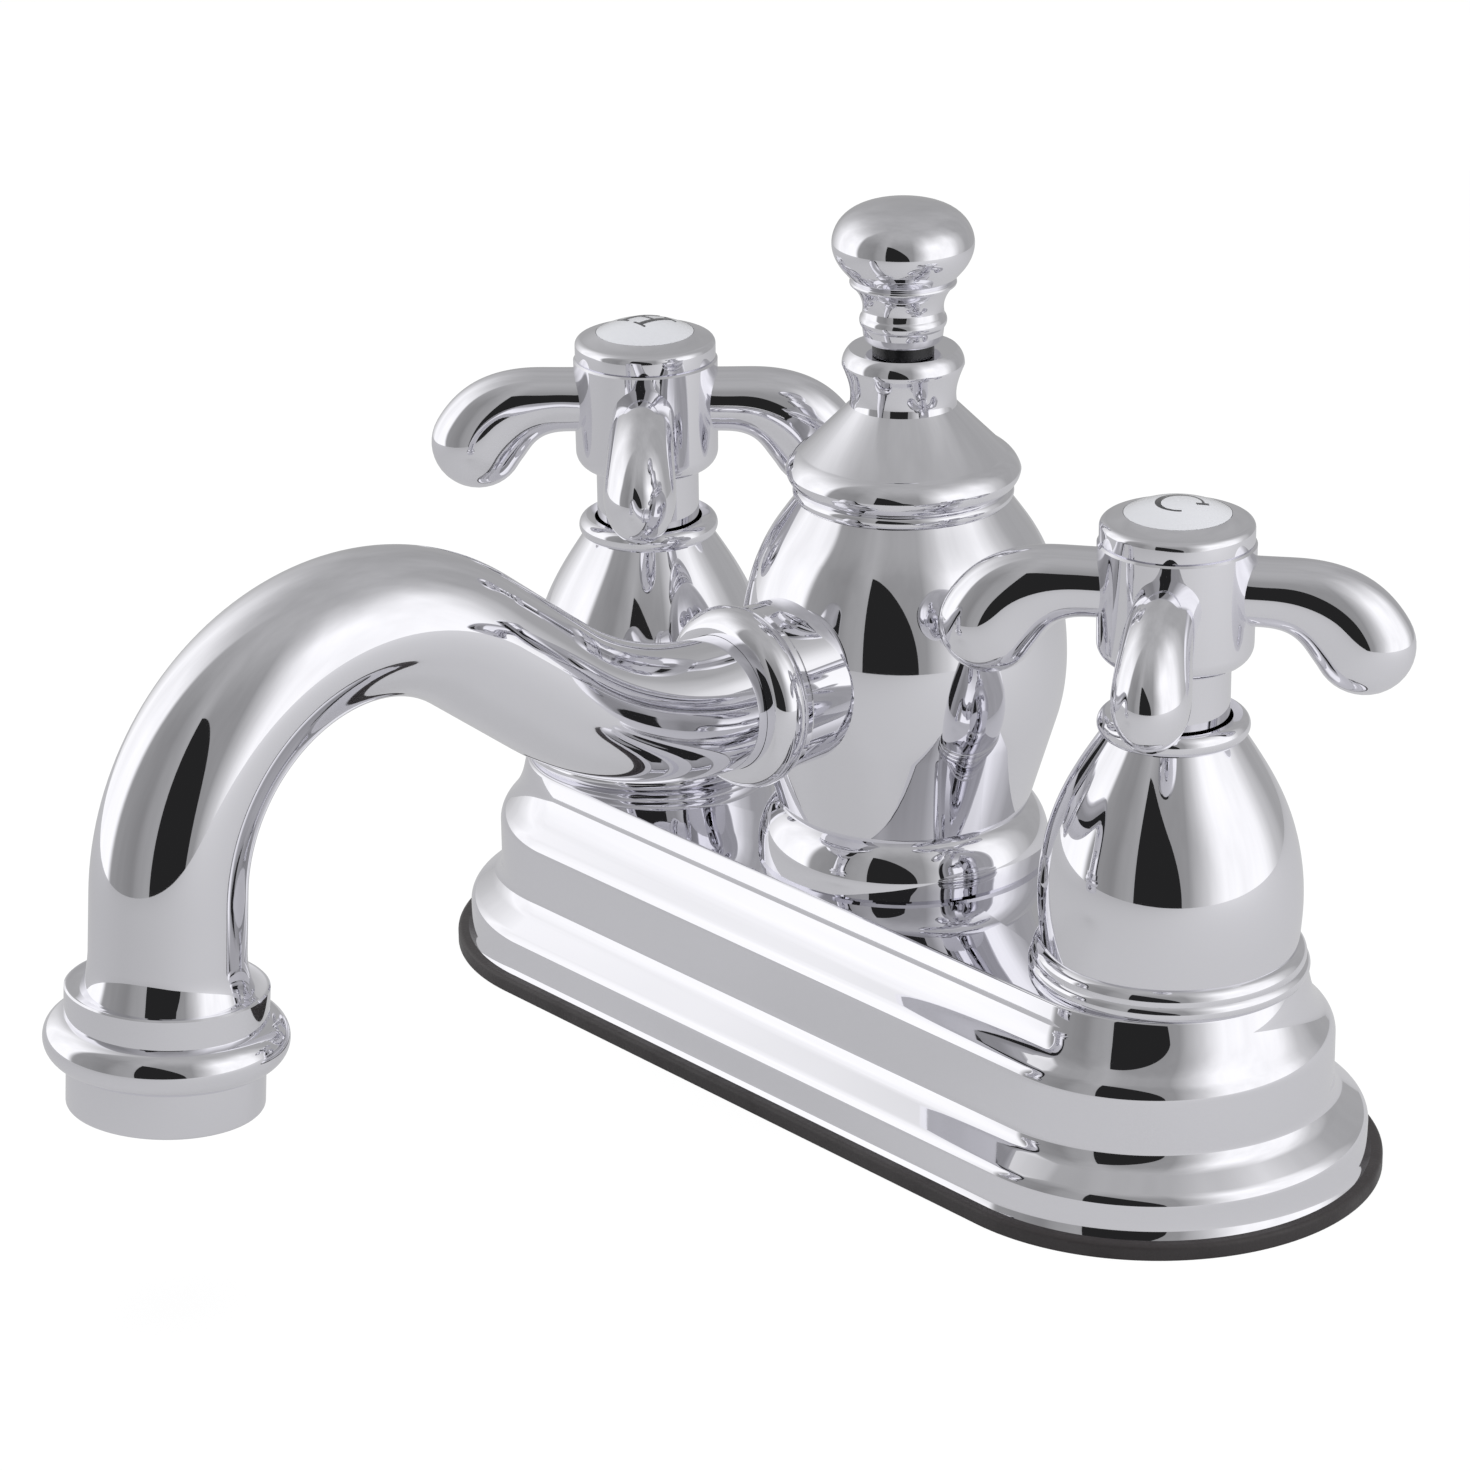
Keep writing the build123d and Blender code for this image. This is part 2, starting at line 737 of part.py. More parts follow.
def button(side):
    """The domed porcelain button that closes the cap."""
    edge = hub_top + button_edge_height
    drop = button_dome_r - math.sqrt(button_dome_r ** 2 - button_r ** 2)
    half_r = button_r / 2
    half_drop = button_dome_r - math.sqrt(button_dome_r ** 2 - half_r ** 2)
    dome = ThreePointArc(at(button_r, edge), at(half_r, edge + drop - half_drop), at(0, edge + drop))
    back = Polyline(
        at(0, edge + drop),
        at(0, edge - button_thick),
        at(button_r, edge - button_thick),
        at(button_r, edge),
    )
    return on_valve(turned(dome, back), side)


# Centre body and its cap

def body_outline():
    """The urn's outer outline from foot to neck."""
    foot_edge = plate_top + body_foot_edge
    foot_low = Line(at(body_foot_r - body_foot_edge, plate_top), at(body_foot_r, foot_edge))
    foot_side = Line(at(body_foot_r, foot_edge), at(body_foot_r, plate_top + body_foot_side))
    cove_r = (body_foot_r + body_waist_r) / 2 + body_cove_out
    foot_curve = Spline(
        at(body_foot_r, plate_top + body_foot_side),
        at(cove_r, (plate_top + body_waist_height) / 2 + body_cove_up),
        at(body_waist_r, body_waist_height),
        tangents=[(0, 0, 1), (-body_cove_up, 0, body_cove_out)],
    )
    cone = Line(at(body_waist_r, body_waist_height), at(body_cone_r, body_cone_height))
    belly = Spline(
        at(body_cone_r, body_cone_height),
        at(body_widest_r, body_widest_height),
        at(body_shoulder_r, body_shoulder_height),
        at(body_neck_r, body_top),
        tangents=[cone % 1, at(body_neck_r - body_shoulder_r, body_top - body_shoulder_height)],
    )
    return [foot_low, foot_side, foot_curve, cone, belly]


def shoulder_height():
    """Height of the inner shoulder that presses on the body's seal."""
    return nipple_top + body_seal_thick


def centre_body():
    """The hollow urn with its thread for the nipple, its port for the spout and its open top."""
    closing = Polyline(
        at(body_neck_r, body_top),
        at(0, body_top),
        at(0, plate_top),
        at(body_foot_r - body_foot_edge, plate_top),
    )
    floor = shoulder_height() + body_floor_web
    thread_low = body_top - body_thread_length
    cavity = turned_path(
        (0, floor),
        (body_waist_r - body_wall, floor),
        (body_cone_r - body_wall, body_cone_height),
        (body_widest_r - body_wall, body_widest_height),
        (body_thread_r, thread_low),
        (0, thread_low),
    )
    boss = on_joint(rod(port_boss_r, port_face - body_wall, body_widest_r))
    body = on_body(turned(*body_outline(), closing)) - (on_body(cavity) - boss)
    sockets = rod(nipple_r + thread_slack, plate_top, shoulder_height())
    sockets += rod(riser_bore_r, plate_top, floor)
    sockets += rod(body_thread_r + thread_slack, thread_low, body_top)
    port = rod(coupling_r + coupling_recess_slack, port_face, 2 * body_widest_r)
    port += rod(port_thread_r + thread_slack, port_face - body_wall, port_face)
    return body - on_body(sockets) - on_joint(port)


def body_seal():
    """The flat rubber ring between the nipple's top and the body's inner shoulder."""
    return on_body(ring(nipple_r, riser_bore_r, nipple_top, shoulder_height()))


def cap_seal():
    """The thin fibre ring between body and cap."""
    return on_body(ring(body_neck_r - bead_depth, body_thread_r + thread_slack, body_top, cap_base))


def body_cap():
    """The turned cap: bead, pillow ring, cone, waisted neck and flange."""
    base = cap_base
    bead_top = base + bead_height
    groove_r = bead_r - bead_depth
    bead = ThreePointArc(at(groove_r, base), at(bead_r, base + bead_height / 2), at(groove_r, bead_top))
    pillow_low = ThreePointArc(
        at(groove_r, bead_top),
        at(pillow_r - pillow_low_bulge, (bead_top + pillow_height) / 2),
        at(pillow_r, pillow_height),
    )
    pillow_high = ThreePointArc(
        at(pillow_r, pillow_height),
        at(pillow_r - pillow_high_bulge, (pillow_height + pillow_top_height) / 2),
        at(pillow_top_r, pillow_top_height),
    )
    cone = Line(at(pillow_top_r, pillow_top_height), at(cone_top_r, cone_top_height))
    neck = Spline(at(cone_top_r, cone_top_height), at(neck_r, neck_height), at(flange_r, flange_height))
    lip = ThreePointArc(
        at(flange_r, flange_height),
        at(flange_r - flange_round, (flange_height + flange_top) / 2),
        at(flange_top_r, flange_top),
    )
    inside = Polyline(
        at(flange_top_r, flange_top),
        at(bush_r + thread_slack, flange_top),
        at(bush_r + thread_slack, cap_bore_floor),
        at(rod_r + 4 * running_fit, cap_bore_floor),
        at(rod_r + 4 * running_fit, sleeve_top),
        at(sleeve_r + thread_slack, sleeve_top),
        at(sleeve_r + thread_slack, cap_cavity_top),
        at(cap_cavity_r, cap_cavity_top),
        at(cap_cavity_r, base - body_thread_length),
        at(body_thread_r, base - body_thread_length),
        at(body_thread_r, base),
        at(groove_r, base),
    )
    return on_body(turned(bead, pillow_low, pillow_high, cone, neck, lip, inside))


# Lift rod

def rod_sleeve():
    """The thin tube that keeps the lift rod out of the water."""
    return on_body(ring(sleeve_r, sleeve_bore_r, gasket_thick, sleeve_top))


def rod_bush():
    """The black guide bush in the cap's top."""
    collar_top = flange_top + bush_collar_height
    bush = rod(bush_r, cap_bore_floor, flange_top) + rod(bush_collar_r, flange_top, collar_top)
    return on_body(bush - rod(rod_r + running_fit, cap_bore_floor, collar_top))


def knob_base():
    """Height of the knob's foot when the rod is down."""
    return flange_top + bush_collar_height + rest_gap


def lift_rod():
    """The rod from the knob down through the deck to the waste's linkage."""
    return on_body(rod(rod_r, -rod_drop, knob_base() + knob_socket_depth))


def lift_knob():
    """The mushroom knob with its bead and waisted neck."""
    foot = Polyline(at(0, 0), *[at(*point) for point in knob_foot])
    bead = ThreePointArc(*[at(*point) for point in knob_bead])
    neck = Spline(*[at(*point) for point in knob_neck])
    lip = Line(at(*knob_neck[-1]), at(*knob_crown[0]))
    crown = Spline(*[at(*point) for point in knob_crown], tangents=[knob_crown_start, (-1, 0, 0)])
    axis = Line(at(*knob_crown[-1]), at(0, 0))
    knob = turned(foot, bead, neck, lip, crown, axis) - rod(rod_r + thread_slack, 0, knob_socket_depth)
    return on_body(Pos(0, 0, knob_base()) * knob)


# Spout

def tube_start():
    """Distance from the body's axis to the spout tube's flat end."""
    return coupling_face + coupling_spigot_length


def spout_path():
    """The tube's centre line: level lead, rise, slope, arch and leg, all tangent."""
    start = (tube_start() - body_set_back, joint_height)
    lead = Line(start, (start[0] + tube_flange_thick + spout_lead, joint_height))
    rise = JernArc(lead @ 1, lead % 1, spout_rise_r, spout_rise_angle)
    slope = Line(rise @ 1, (rise @ 1) + (rise % 1) * spout_slope_length)
    arch = JernArc(slope @ 1, slope % 1, spout_arch_r, -(spout_rise_angle + 90 - spout_outlet_tilt))
    leg = Line(arch @ 1, (arch @ 1) + (arch % 1) * spout_leg)
    return [lead, rise, slope, arch, leg]


def outlet_plane():
    """The plane at the spout tube's lower end, its z running back up the tube."""
    leg = spout_path()[-1]
    place = spout_plane()
    origin = place.from_local_coords(leg @ 1)
    ahead = place.from_local_coords((leg @ 1) - (leg % 1)) - origin
    return Plane(origin=origin, x_dir=(1, 0, 0), z_dir=ahead)


def tube_solid(radii):
    """A round bar along the spout's path whose radius follows the given stations."""
    place = spout_plane()
    wire = Wire([place.from_local_coords(edge) for edge in spout_path()])
    sections = []
    for share, r in radii:
        plane = Plane(origin=wire @ share, x_dir=(1, 0, 0), z_dir=wire % share)
        sections.append(plane.location * Circle(r))
    return sweep(sections, path=wire, multisection=True)


def spout():
    """The goose-neck tube with the flange that its nut holds."""
    stations = ((0, tube_root_r), (0.5, tube_middle_r), (1, tube_end_r))
    tube = tube_solid(stations)
    tube += on_joint(rod(tube_flange_r, tube_start(), tube_start() + tube_flange_thick))
    bore = tube_solid([(share, r - tube_wall) for share, r in stations])
    return tube - bore


def spout_coupling():
    """The turned coupling: thread into the body, plain sleeve and male spigot for the nut."""
    coupling = rod(port_thread_r, port_face - body_wall, port_face)
    coupling += rod(coupling_r, port_face, coupling_face)
    coupling += rod(coupling_spigot_r, coupling_face, tube_start())
    coupling -= rod(port_bore_r, port_face - body_wall, tube_start())
    outer_r = spout_seal_r() + spout_seal_wire_r
    inner_r = spout_seal_r() - spout_seal_wire_r
    coupling -= ring(outer_r, inner_r, tube_start() - 2 * spout_seal_wire_r, tube_start())
    return on_joint(coupling)


def spout_seal_r():
    """Middle radius of the O-ring, half way across the end of the coupling's spigot."""
    return (coupling_spigot_r + port_bore_r) / 2


def spout_seal():
    """The O-ring in the coupling's end groove, pressed by the tube's flat end."""
    seal = Torus(spout_seal_r(), spout_seal_wire_r)
    return on_joint(Pos(0, 0, tube_start() - spout_seal_wire_r) * seal)


def spout_nut():
    """The ornamental nut: a narrow band and a full round ring over the tube's flange."""
    low = coupling_face
    band_end = low + nut_band_width
    band = Polyline(
        at(nut_band_r - nut_edge, low), at(nut_band_r, low + nut_edge), at(nut_band_r, band_end)
    )
    flange_end = tube_start() + tube_flange_thick
    roll_end = flange_end + nut_lip
    roll_end_r = nut_band_r - nut_ring_depth
    roll = ThreePointArc(
        at(nut_band_r, band_end),
        at(nut_ring_r, band_end + nut_ring_middle),
        at(roll_end_r, roll_end),
    )
    thread_r = coupling_spigot_r + thread_slack
    lip_r = tube_root_r + nut_lip_slack
    inside = Polyline(
        at(roll_end_r, roll_end),
        at(lip_r, roll_end),
        at(lip_r, flange_end),
        at(thread_r, flange_end),
        at(thread_r, low),
        at(nut_band_r - nut_edge, low),
    )
    return on_joint(turned(band, roll, inside))


# Nozzle and aerator

def nozzle():
    """The turned end of the spout: collar with a dished top and a full round torus."""
    top = nozzle_socket_depth
    torus_middle = top - collar_length - torus_half_width
    low = torus_middle - torus_half_width
    torus_centre_r = torus_r - torus_half_width
    torus_rise = math.sqrt(torus_half_width ** 2 - (collar_r - torus_centre_r) ** 2)
    socket_r = tube_end_r + thread_slack
    rim_r = collar_r - collar_edge
    collar = Polyline(
        at(socket_r, top - collar_dish),
        at(rim_r - collar_rim_width, top - collar_dish),
        at(rim_r - collar_edge, top),
        at(rim_r, top),
        at(collar_r, top - collar_edge),
        at(collar_r, torus_middle + torus_rise),
    )
    torus = ThreePointArc(
        at(collar_r, torus_middle + torus_rise), at(torus_r, torus_middle), at(torus_centre_r, low)
    )
    thread_r = aerator_thread_r + thread_slack
    web = -nozzle_web
    inside = Polyline(
        at(torus_centre_r, low),
        at(thread_r, low),
        at(thread_r, web),
        at(tube_end_r - tube_wall, web),
        at(tube_end_r - tube_wall, 0),
        at(socket_r, 0),
        at(socket_r, top - collar_dish),
    )
    return outlet_plane().location * turned(collar, torus, inside)


def nozzle_low():
    """Height of the nozzle's lower face on the outlet's axis."""
    return nozzle_socket_depth - collar_length - 2 * torus_half_width


def aerator_washer():
    """The flat washer that seals the aerator against the nozzle's web."""
    low = -nozzle_web - aerator_washer_thick
    washer = ring(aerator_thread_r, aerator_washer_inner_r, low, -nozzle_web)
    return outlet_plane().location * washer


def aerator_housing():
    """The screwed-in mouth ring of the aerator."""
    low = nozzle_low() - mouth_length
    thread_top = -nozzle_web - aerator_washer_thick
    bore_r = insert_r + running_fit
    housing = turned_path(
        (mouth_lip_r, low),
        (mouth_r - mouth_edge, low),
        (mouth_r, low + mouth_edge),
        (mouth_r, nozzle_low()),
        (aerator_thread_r, nozzle_low()),
        (aerator_thread_r, thread_top),
        (bore_r, thread_top),
        (bore_r, low + mouth_lip),
        (mouth_lip_r, low + mouth_lip),
    )
    return outlet_plane().location * housing


def aerator_insert():
    """The perforated insert that rests on the mouth's lip."""
    low = nozzle_low() - mouth_length + mouth_lip
    top = -nozzle_web - aerator_washer_thick
    insert = ring(insert_r, insert_r - insert_wall, low, top) + rod(insert_r, low, low + insert_plate)
    insert -= rod(insert_hole_r, low, low + insert_plate)
    for number in range(1, insert_rings + 1):
        holes = PolarLocations(number * insert_ring_r, 6 * number)
        insert -= [place * rod(insert_hole_r, low, low + insert_plate) for place in holes]
    return outlet_plane().location * insert


parts = {
    "deck_gasket": deck_gasket(),
    "deck_plate": deck_plate(),
    "waterway_casting": waterway_casting(),
    "mounting_washers": mounting_washers(),
    "mounting_nuts": mounting_nuts(),
    "centre_body": centre_body(),
    "body_seal": body_seal(),
    "cap_seal": cap_seal(),
    "body_cap": body_cap(),
    "rod_sleeve": rod_sleeve(),
    "rod_bush": rod_bush(),
    "lift_rod": lift_rod(),
    "lift_knob": lift_knob(),
    "spout_coupling": spout_coupling(),
    "spout_seal": spout_seal(),
    "spout_nut": spout_nut(),
    "spout": spout(),
    "nozzle": nozzle(),
    "aerator_washer": aerator_washer(),
    "aerator_housing": aerator_housing(),
    "aerator_insert": aerator_insert(),
}
for name, side, turn in (("hot", -1, hot_rest_angle), ("cold", 1, cold_rest_angle)):
    parts[name + "_bell"] = bell(side)
    parts[name + "_seat_seal"] = seat_seal(side)
    parts[name + "_cartridge_body"] = cartridge_body(side)
    parts[name + "_fixed_disc"] = fixed_disc(side)
    parts[name + "_turning_disc"] = turning_disc(side)
    parts[name + "_spindle"] = spindle(side, turn)
    parts[name + "_spindle_seal"] = spindle_seal(side)
    parts[name + "_handle"] = handle(side, turn)
    parts[name + "_handle_screw"] = handle_screw(side)
    parts[name + "_index_cap"] = index_cap(side)
    parts[name + "_button"] = button(side)

os.makedirs("parts", exist_ok=True)
for name, solid in parts.items():
    export_step(solid, "parts/" + name + ".step")
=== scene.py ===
"""Looks of a centerset bathroom faucet: polished pieces, finishes, studio and camera."""
import json
import math

import bpy
from bpy.props import FloatProperty, FloatVectorProperty, IntProperty, PointerProperty
from bpy.types import Operator, Panel, PropertyGroup
from mathutils import Matrix, Vector


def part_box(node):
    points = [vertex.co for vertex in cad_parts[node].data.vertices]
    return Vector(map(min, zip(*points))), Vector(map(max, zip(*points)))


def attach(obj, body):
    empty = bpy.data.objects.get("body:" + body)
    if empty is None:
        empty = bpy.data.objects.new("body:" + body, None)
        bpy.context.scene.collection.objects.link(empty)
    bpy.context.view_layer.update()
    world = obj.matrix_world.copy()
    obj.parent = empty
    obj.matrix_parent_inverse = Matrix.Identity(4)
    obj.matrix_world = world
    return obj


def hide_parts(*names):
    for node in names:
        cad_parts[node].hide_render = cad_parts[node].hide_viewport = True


bl_info = {
    "name": "Centerset Bathroom Faucet",
    "version": (1, 0, 0),
    "blender": (4, 5, 0),
    "location": "3D View > Sidebar > Faucet",
    "description": "Models and finishes the pieces of a two-handle bathroom faucet",
    "category": "Object",
}

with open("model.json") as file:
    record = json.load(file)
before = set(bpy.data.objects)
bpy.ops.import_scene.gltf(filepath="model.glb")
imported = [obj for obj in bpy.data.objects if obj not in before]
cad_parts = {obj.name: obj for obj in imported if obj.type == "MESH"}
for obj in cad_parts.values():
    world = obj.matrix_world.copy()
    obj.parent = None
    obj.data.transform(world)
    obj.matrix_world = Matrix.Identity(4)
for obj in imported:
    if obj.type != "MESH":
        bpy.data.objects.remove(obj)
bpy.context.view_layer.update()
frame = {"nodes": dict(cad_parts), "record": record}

# Lengths are in millimetres unless a line says otherwise, and outlines are (radius, height) stations
MM = 0.001
SMOOTH_ANGLE = math.radians(32)
MERGE_GAP = 0.001
MIDLINE = 0.01
PLUG_SIDES = 96
SIDES = {"hot": -1, "cold": 1}


def middle(node):
    """The middle of a CAD node's box, in millimetres."""
    low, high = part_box(node)
    return (low + high) / 2 / MM


VALVE_X = middle("cold_bell").x
BODY_Y = middle("lift_rod").y


# Outlines

def arc(centre, radius, start, end, steps=8):
    """Stations on a circle between two angles in degrees, both ends included."""
    angles = [math.radians(start + (end - start) * i / steps) for i in range(steps + 1)]
    return [(centre[0] + radius * math.cos(a), centre[1] + radius * math.sin(a)) for a in angles]


def through(first, middle_point, last, steps=12):
    """Stations on the circle through three points, from the first to the last."""
    (ax, ay), (bx, by), (cx, cy) = first, middle_point, last
    d = 2 * (ax * (by - cy) + bx * (cy - ay) + cx * (ay - by))
    ux = ((ax**2 + ay**2) * (by - cy) + (bx**2 + by**2) * (cy - ay) + (cx**2 + cy**2) * (ay - by)) / d
    uy = ((ax**2 + ay**2) * (cx - bx) + (bx**2 + by**2) * (ax - cx) + (cx**2 + cy**2) * (bx - ax)) / d
    angle = [math.degrees(math.atan2(y - uy, x - ux)) for x, y in (first, middle_point, last)]
    turn = (angle[1] - angle[0] + 180) % 360 - 180
    turn += (angle[2] - angle[1] + 180) % 360 - 180
    return arc((ux, uy), math.hypot(ax - ux, ay - uy), angle[0], angle[0] + turn, steps)


def smooth(points, start=None, end=None, steps=10):
    """Stations on a cubic spline through the points; start and end are optional directions there."""
    n = len(points) - 1
    length = [math.dist(points[i], points[i + 1]) for i in range(n)]
    slopes = []
    for axis in (0, 1):
        value = [p[axis] for p in points]
        low, mid, high, right = [0.0] * (n + 1), [1.0] * (n + 1), [0.0] * (n + 1), [0.0] * (n + 1)
        for i in range(1, n):
            low[i], high[i] = 1 / length[i - 1], 1 / length[i]
            mid[i] = 2 * (low[i] + high[i])
            right[i] = 3 * (low[i] ** 2 * (value[i] - value[i - 1]) + high[i] ** 2 * (value[i + 1] - value[i]))
        if start:
            right[0] = start[axis] / math.hypot(*start)
        else:
            mid[0], high[0], right[0] = 2.0, 1.0, 3 * (value[1] - value[0]) / length[0]
        if end:
            right[n] = end[axis] / math.hypot(*end)
        else:
            mid[n], low[n], right[n] = 2.0, 1.0, 3 * (value[n] - value[n - 1]) / length[n - 1]
        for i in range(1, n + 1):
            share = low[i] / mid[i - 1]
            mid[i] -= share * high[i - 1]
            right[i] -= share * right[i - 1]
        slope = [0.0] * (n + 1)
        slope[n] = right[n] / mid[n]
        for i in range(n - 1, -1, -1):
            slope[i] = (right[i] - high[i] * slope[i + 1]) / mid[i]
        slopes.append(slope)
    stations = [points[0]]
    for i in range(n):
        for k in range(1, steps + 1):
            t = k / steps
            weights = (2 * t**3 - 3 * t**2 + 1, 3 * t**2 - 2 * t**3)
            pulls = ((t**3 - 2 * t**2 + t) * length[i], (t**3 - t**2) * length[i])
            stations.append(tuple(
                weights[0] * points[i][axis] + weights[1] * points[i + 1][axis]
                + pulls[0] * slopes[axis][i] + pulls[1] * slopes[axis][i + 1]
                for axis in (0, 1)
            ))
    return stations


def joined(*runs):
    """One list of stations from several, without the doubles where they meet."""
    stations = []
    for run in runs:
        for point in run:
            if not stations or math.dist(point, stations[-1]) > 1e-4:
                stations.append(point)
    return stations


# Modelling

def clear_selection():
    """Deselects every object."""
    bpy.ops.object.select_all(action="DESELECT")


def only(piece):
    """Makes this piece the one selected and active object."""
    clear_selection()
    piece.select_set(True)
    bpy.context.view_layer.objects.active = piece


def close_up(piece):
    """Merges doubles, turns the faces outwards and smooths all but the true edges."""
    only(piece)
    bpy.ops.object.mode_set(mode="EDIT")
    bpy.ops.mesh.select_all(action="SELECT")
    bpy.ops.mesh.remove_doubles(threshold=MERGE_GAP * MM)
    bpy.ops.mesh.normals_make_consistent(inside=False)
    bpy.ops.object.mode_set(mode="OBJECT")
    bpy.ops.object.shade_smooth_by_angle(angle=SMOOTH_ANGLE)
    return piece


def turned(name, outline, steps=128, closed=False):
    """Draws an outline station by station from one corner of a plane, then spins it about Z."""
    clear_selection()
    bpy.ops.mesh.primitive_plane_add(size=MM, location=(outline[0][0] * MM, 0, outline[0][1] * MM))
    piece = bpy.context.object
    piece.name = name
    bpy.ops.object.transform_apply()
    bpy.ops.object.mode_set(mode="EDIT")
    bpy.ops.mesh.merge(type="CENTER")
    route = list(outline) + ([outline[0]] if closed else [])
    for (r0, z0), (r1, z1) in zip(route, route[1:]):
        step = ((r1 - r0) * MM, 0, (z1 - z0) * MM)
        bpy.ops.mesh.extrude_vertices_move(TRANSFORM_OT_translate={"value": step})
    bpy.ops.mesh.select_all(action="SELECT")
    bpy.ops.mesh.spin(steps=steps, angle=2 * math.pi, center=(0, 0, 0), axis=(0, 0, 1))
    bpy.ops.object.mode_set(mode="OBJECT")
    return close_up(piece)


def swept(name, stations, segments=96):
    """Extrudes an oval ring through (place, heading, depth and width) stations in XZ and fills both ends."""
    clear_selection()
    (x, z), heading, (depth, width) = stations[0]
    bpy.ops.mesh.primitive_circle_add(
        vertices=segments, radius=depth * MM, location=(x * MM, 0, z * MM), rotation=(0, math.pi / 2 - heading, 0)
    )
    piece = bpy.context.object
    piece.name = name
    bpy.ops.object.transform_apply()
    bpy.ops.object.mode_set(mode="EDIT")
    bpy.ops.mesh.select_all(action="SELECT")
    bpy.ops.transform.resize(value=(1, width / depth, 1), center_override=(x * MM, 0, z * MM))
    for (place, heading, oval), (next_place, next_heading, next_oval) in zip(stations, stations[1:]):
        step = ((next_place[0] - place[0]) * MM, 0, (next_place[1] - place[1]) * MM)
        centre = (next_place[0] * MM, 0, next_place[1] * MM)
        bpy.ops.mesh.extrude_region_move(TRANSFORM_OT_translate={"value": step})
        if abs(next_heading - heading) > 1e-9:
            # with no window, a positive angle about Y lifts the heading
            bpy.ops.transform.rotate(value=next_heading - heading, orient_axis="Y", center_override=centre)
        deeper, wider = next_oval[0] / oval[0], next_oval[1] / oval[1]
        bpy.ops.transform.resize(value=(deeper, wider, deeper), center_override=centre)
    bpy.ops.mesh.select_all(action="SELECT")
    bpy.ops.mesh.remove_doubles(threshold=MERGE_GAP * MM)
    bpy.ops.mesh.select_all(action="DESELECT")
    bpy.ops.mesh.select_non_manifold(extend=False, use_wire=False, use_multi_face=False, use_verts=False)
    bpy.ops.mesh.edge_face_add()
    bpy.ops.object.mode_set(mode="OBJECT")
    return close_up(piece)


def put(piece, turn=Matrix.Identity(3), place=(0, 0, 0)):
    """Turns and moves a piece made about the origin, and leaves its place in its mesh."""
    only(piece)
    piece.matrix_world = Matrix.Translation(Vector(place) * MM) @ turn.to_4x4()
    bpy.ops.object.transform_apply(location=True, rotation=True, scale=True)
    return piece


def remove(*pieces):
    """Deletes pieces that have served."""
    for piece in pieces:
        only(piece)
        bpy.ops.object.delete()


def copy_of(piece, name):
    """A copy of the piece with its own mesh."""
    only(piece)
    bpy.ops.object.duplicate(linked=False)
    twin = bpy.context.object
    twin.name = name
    return twin


def modify(piece, kind, **settings):
    """Adds a modifier with these settings and applies it."""
    only(piece)
    bpy.ops.object.modifier_add(type=kind)
    modifier = piece.modifiers[-1]
    for key, value in settings.items():
        setattr(modifier, key, value)
    bpy.ops.object.modifier_apply(modifier=modifier.name)


def combine(piece, operation, others):
    """Adds the others to the piece or takes them out of it, and deletes them."""
    for other in others:
        modify(piece, "BOOLEAN", operation=operation, object=other, solver="EXACT")
        remove(other)
    return close_up(piece)


def plug(radius, low, high, x=0.0, y=0.0):
    """A plain cylinder for a cut, between two heights."""
    clear_selection()
    bpy.ops.mesh.primitive_cylinder_add(
        vertices=PLUG_SIDES, radius=radius * MM, depth=(high - low) * MM,
        location=(x * MM, y * MM, (low + high) / 2 * MM),
    )
    return bpy.context.object


def pull_ends(piece, side, distance, level=-math.inf):
    """Moves one half of a piece along X, or only what lies above a level of it."""
    only(piece)
    bpy.ops.object.mode_set(mode="EDIT")
    bpy.ops.mesh.select_all(action="DESELECT")
    bpy.ops.object.mode_set(mode="OBJECT")
    for vertex in piece.data.vertices:
        vertex.select = vertex.co.x * side > MIDLINE * MM and vertex.co.z > level * MM
    bpy.ops.object.mode_set(mode="EDIT")
    bpy.ops.transform.translate(value=(side * distance * MM, 0, 0))
    bpy.ops.object.mode_set(mode="OBJECT")


def pull_apart(piece, distance):
    """Moves the two halves of a turned piece apart along X, so that it gets straight sides."""
    for side in (-1, 1):
        pull_ends(piece, side, distance)
    return piece


# Finishes

COAT_ROUGHNESS = 0.05
RELIEF_DEPTH = 0.1
# slot, colour or its property, drift of tone, metallic, roughness, marks, mark scale, grain scale, bump, coat
FINISHES = (
    ("polished_chrome", "chrome", 0.97, 1.0, 0.018, 0.02, 45.0, 350.0, 0.01, 0.0),
    ("raw_brass", "brass", 0.72, 1.0, 0.32, 0.18, 90.0, 2500.0, 0.25, 0.0),
    ("plated_steel", (0.70, 0.71, 0.72), 0.85, 1.0, 0.22, 0.12, 120.0, 3000.0, 0.15, 0.0),
    ("gasket_rubber", "gasket", 1.6, 0.0, 0.42, 0.22, 150.0, 2600.0, 0.40, 0.0),
    ("seal_rubber", (0.03, 0.03, 0.03), 1.5, 0.0, 0.55, 0.15, 200.0, 3000.0, 0.3, 0.0),
    ("black_plastic", (0.015, 0.015, 0.017), 1.4, 0.0, 0.28, 0.12, 200.0, 2000.0, 0.1, 0.0),
    ("white_plastic", (0.80, 0.80, 0.78), 0.93, 0.0, 0.42, 0.12, 200.0, 2500.0, 0.15, 0.0),
    ("disc_ceramic", (0.85, 0.84, 0.80), 0.95, 0.0, 0.25, 0.10, 150.0, 4000.0, 0.05, 0.0),
    ("porcelain", "porcelain", 0.97, 0.0, 0.12, 0.05, 80.0, 500.0, 0.02, 1.0),
    ("letter_glaze", "letter", 1.3, 0.0, 0.20, 0.08, 300.0, 1500.0, 0.03, 0.6),
)


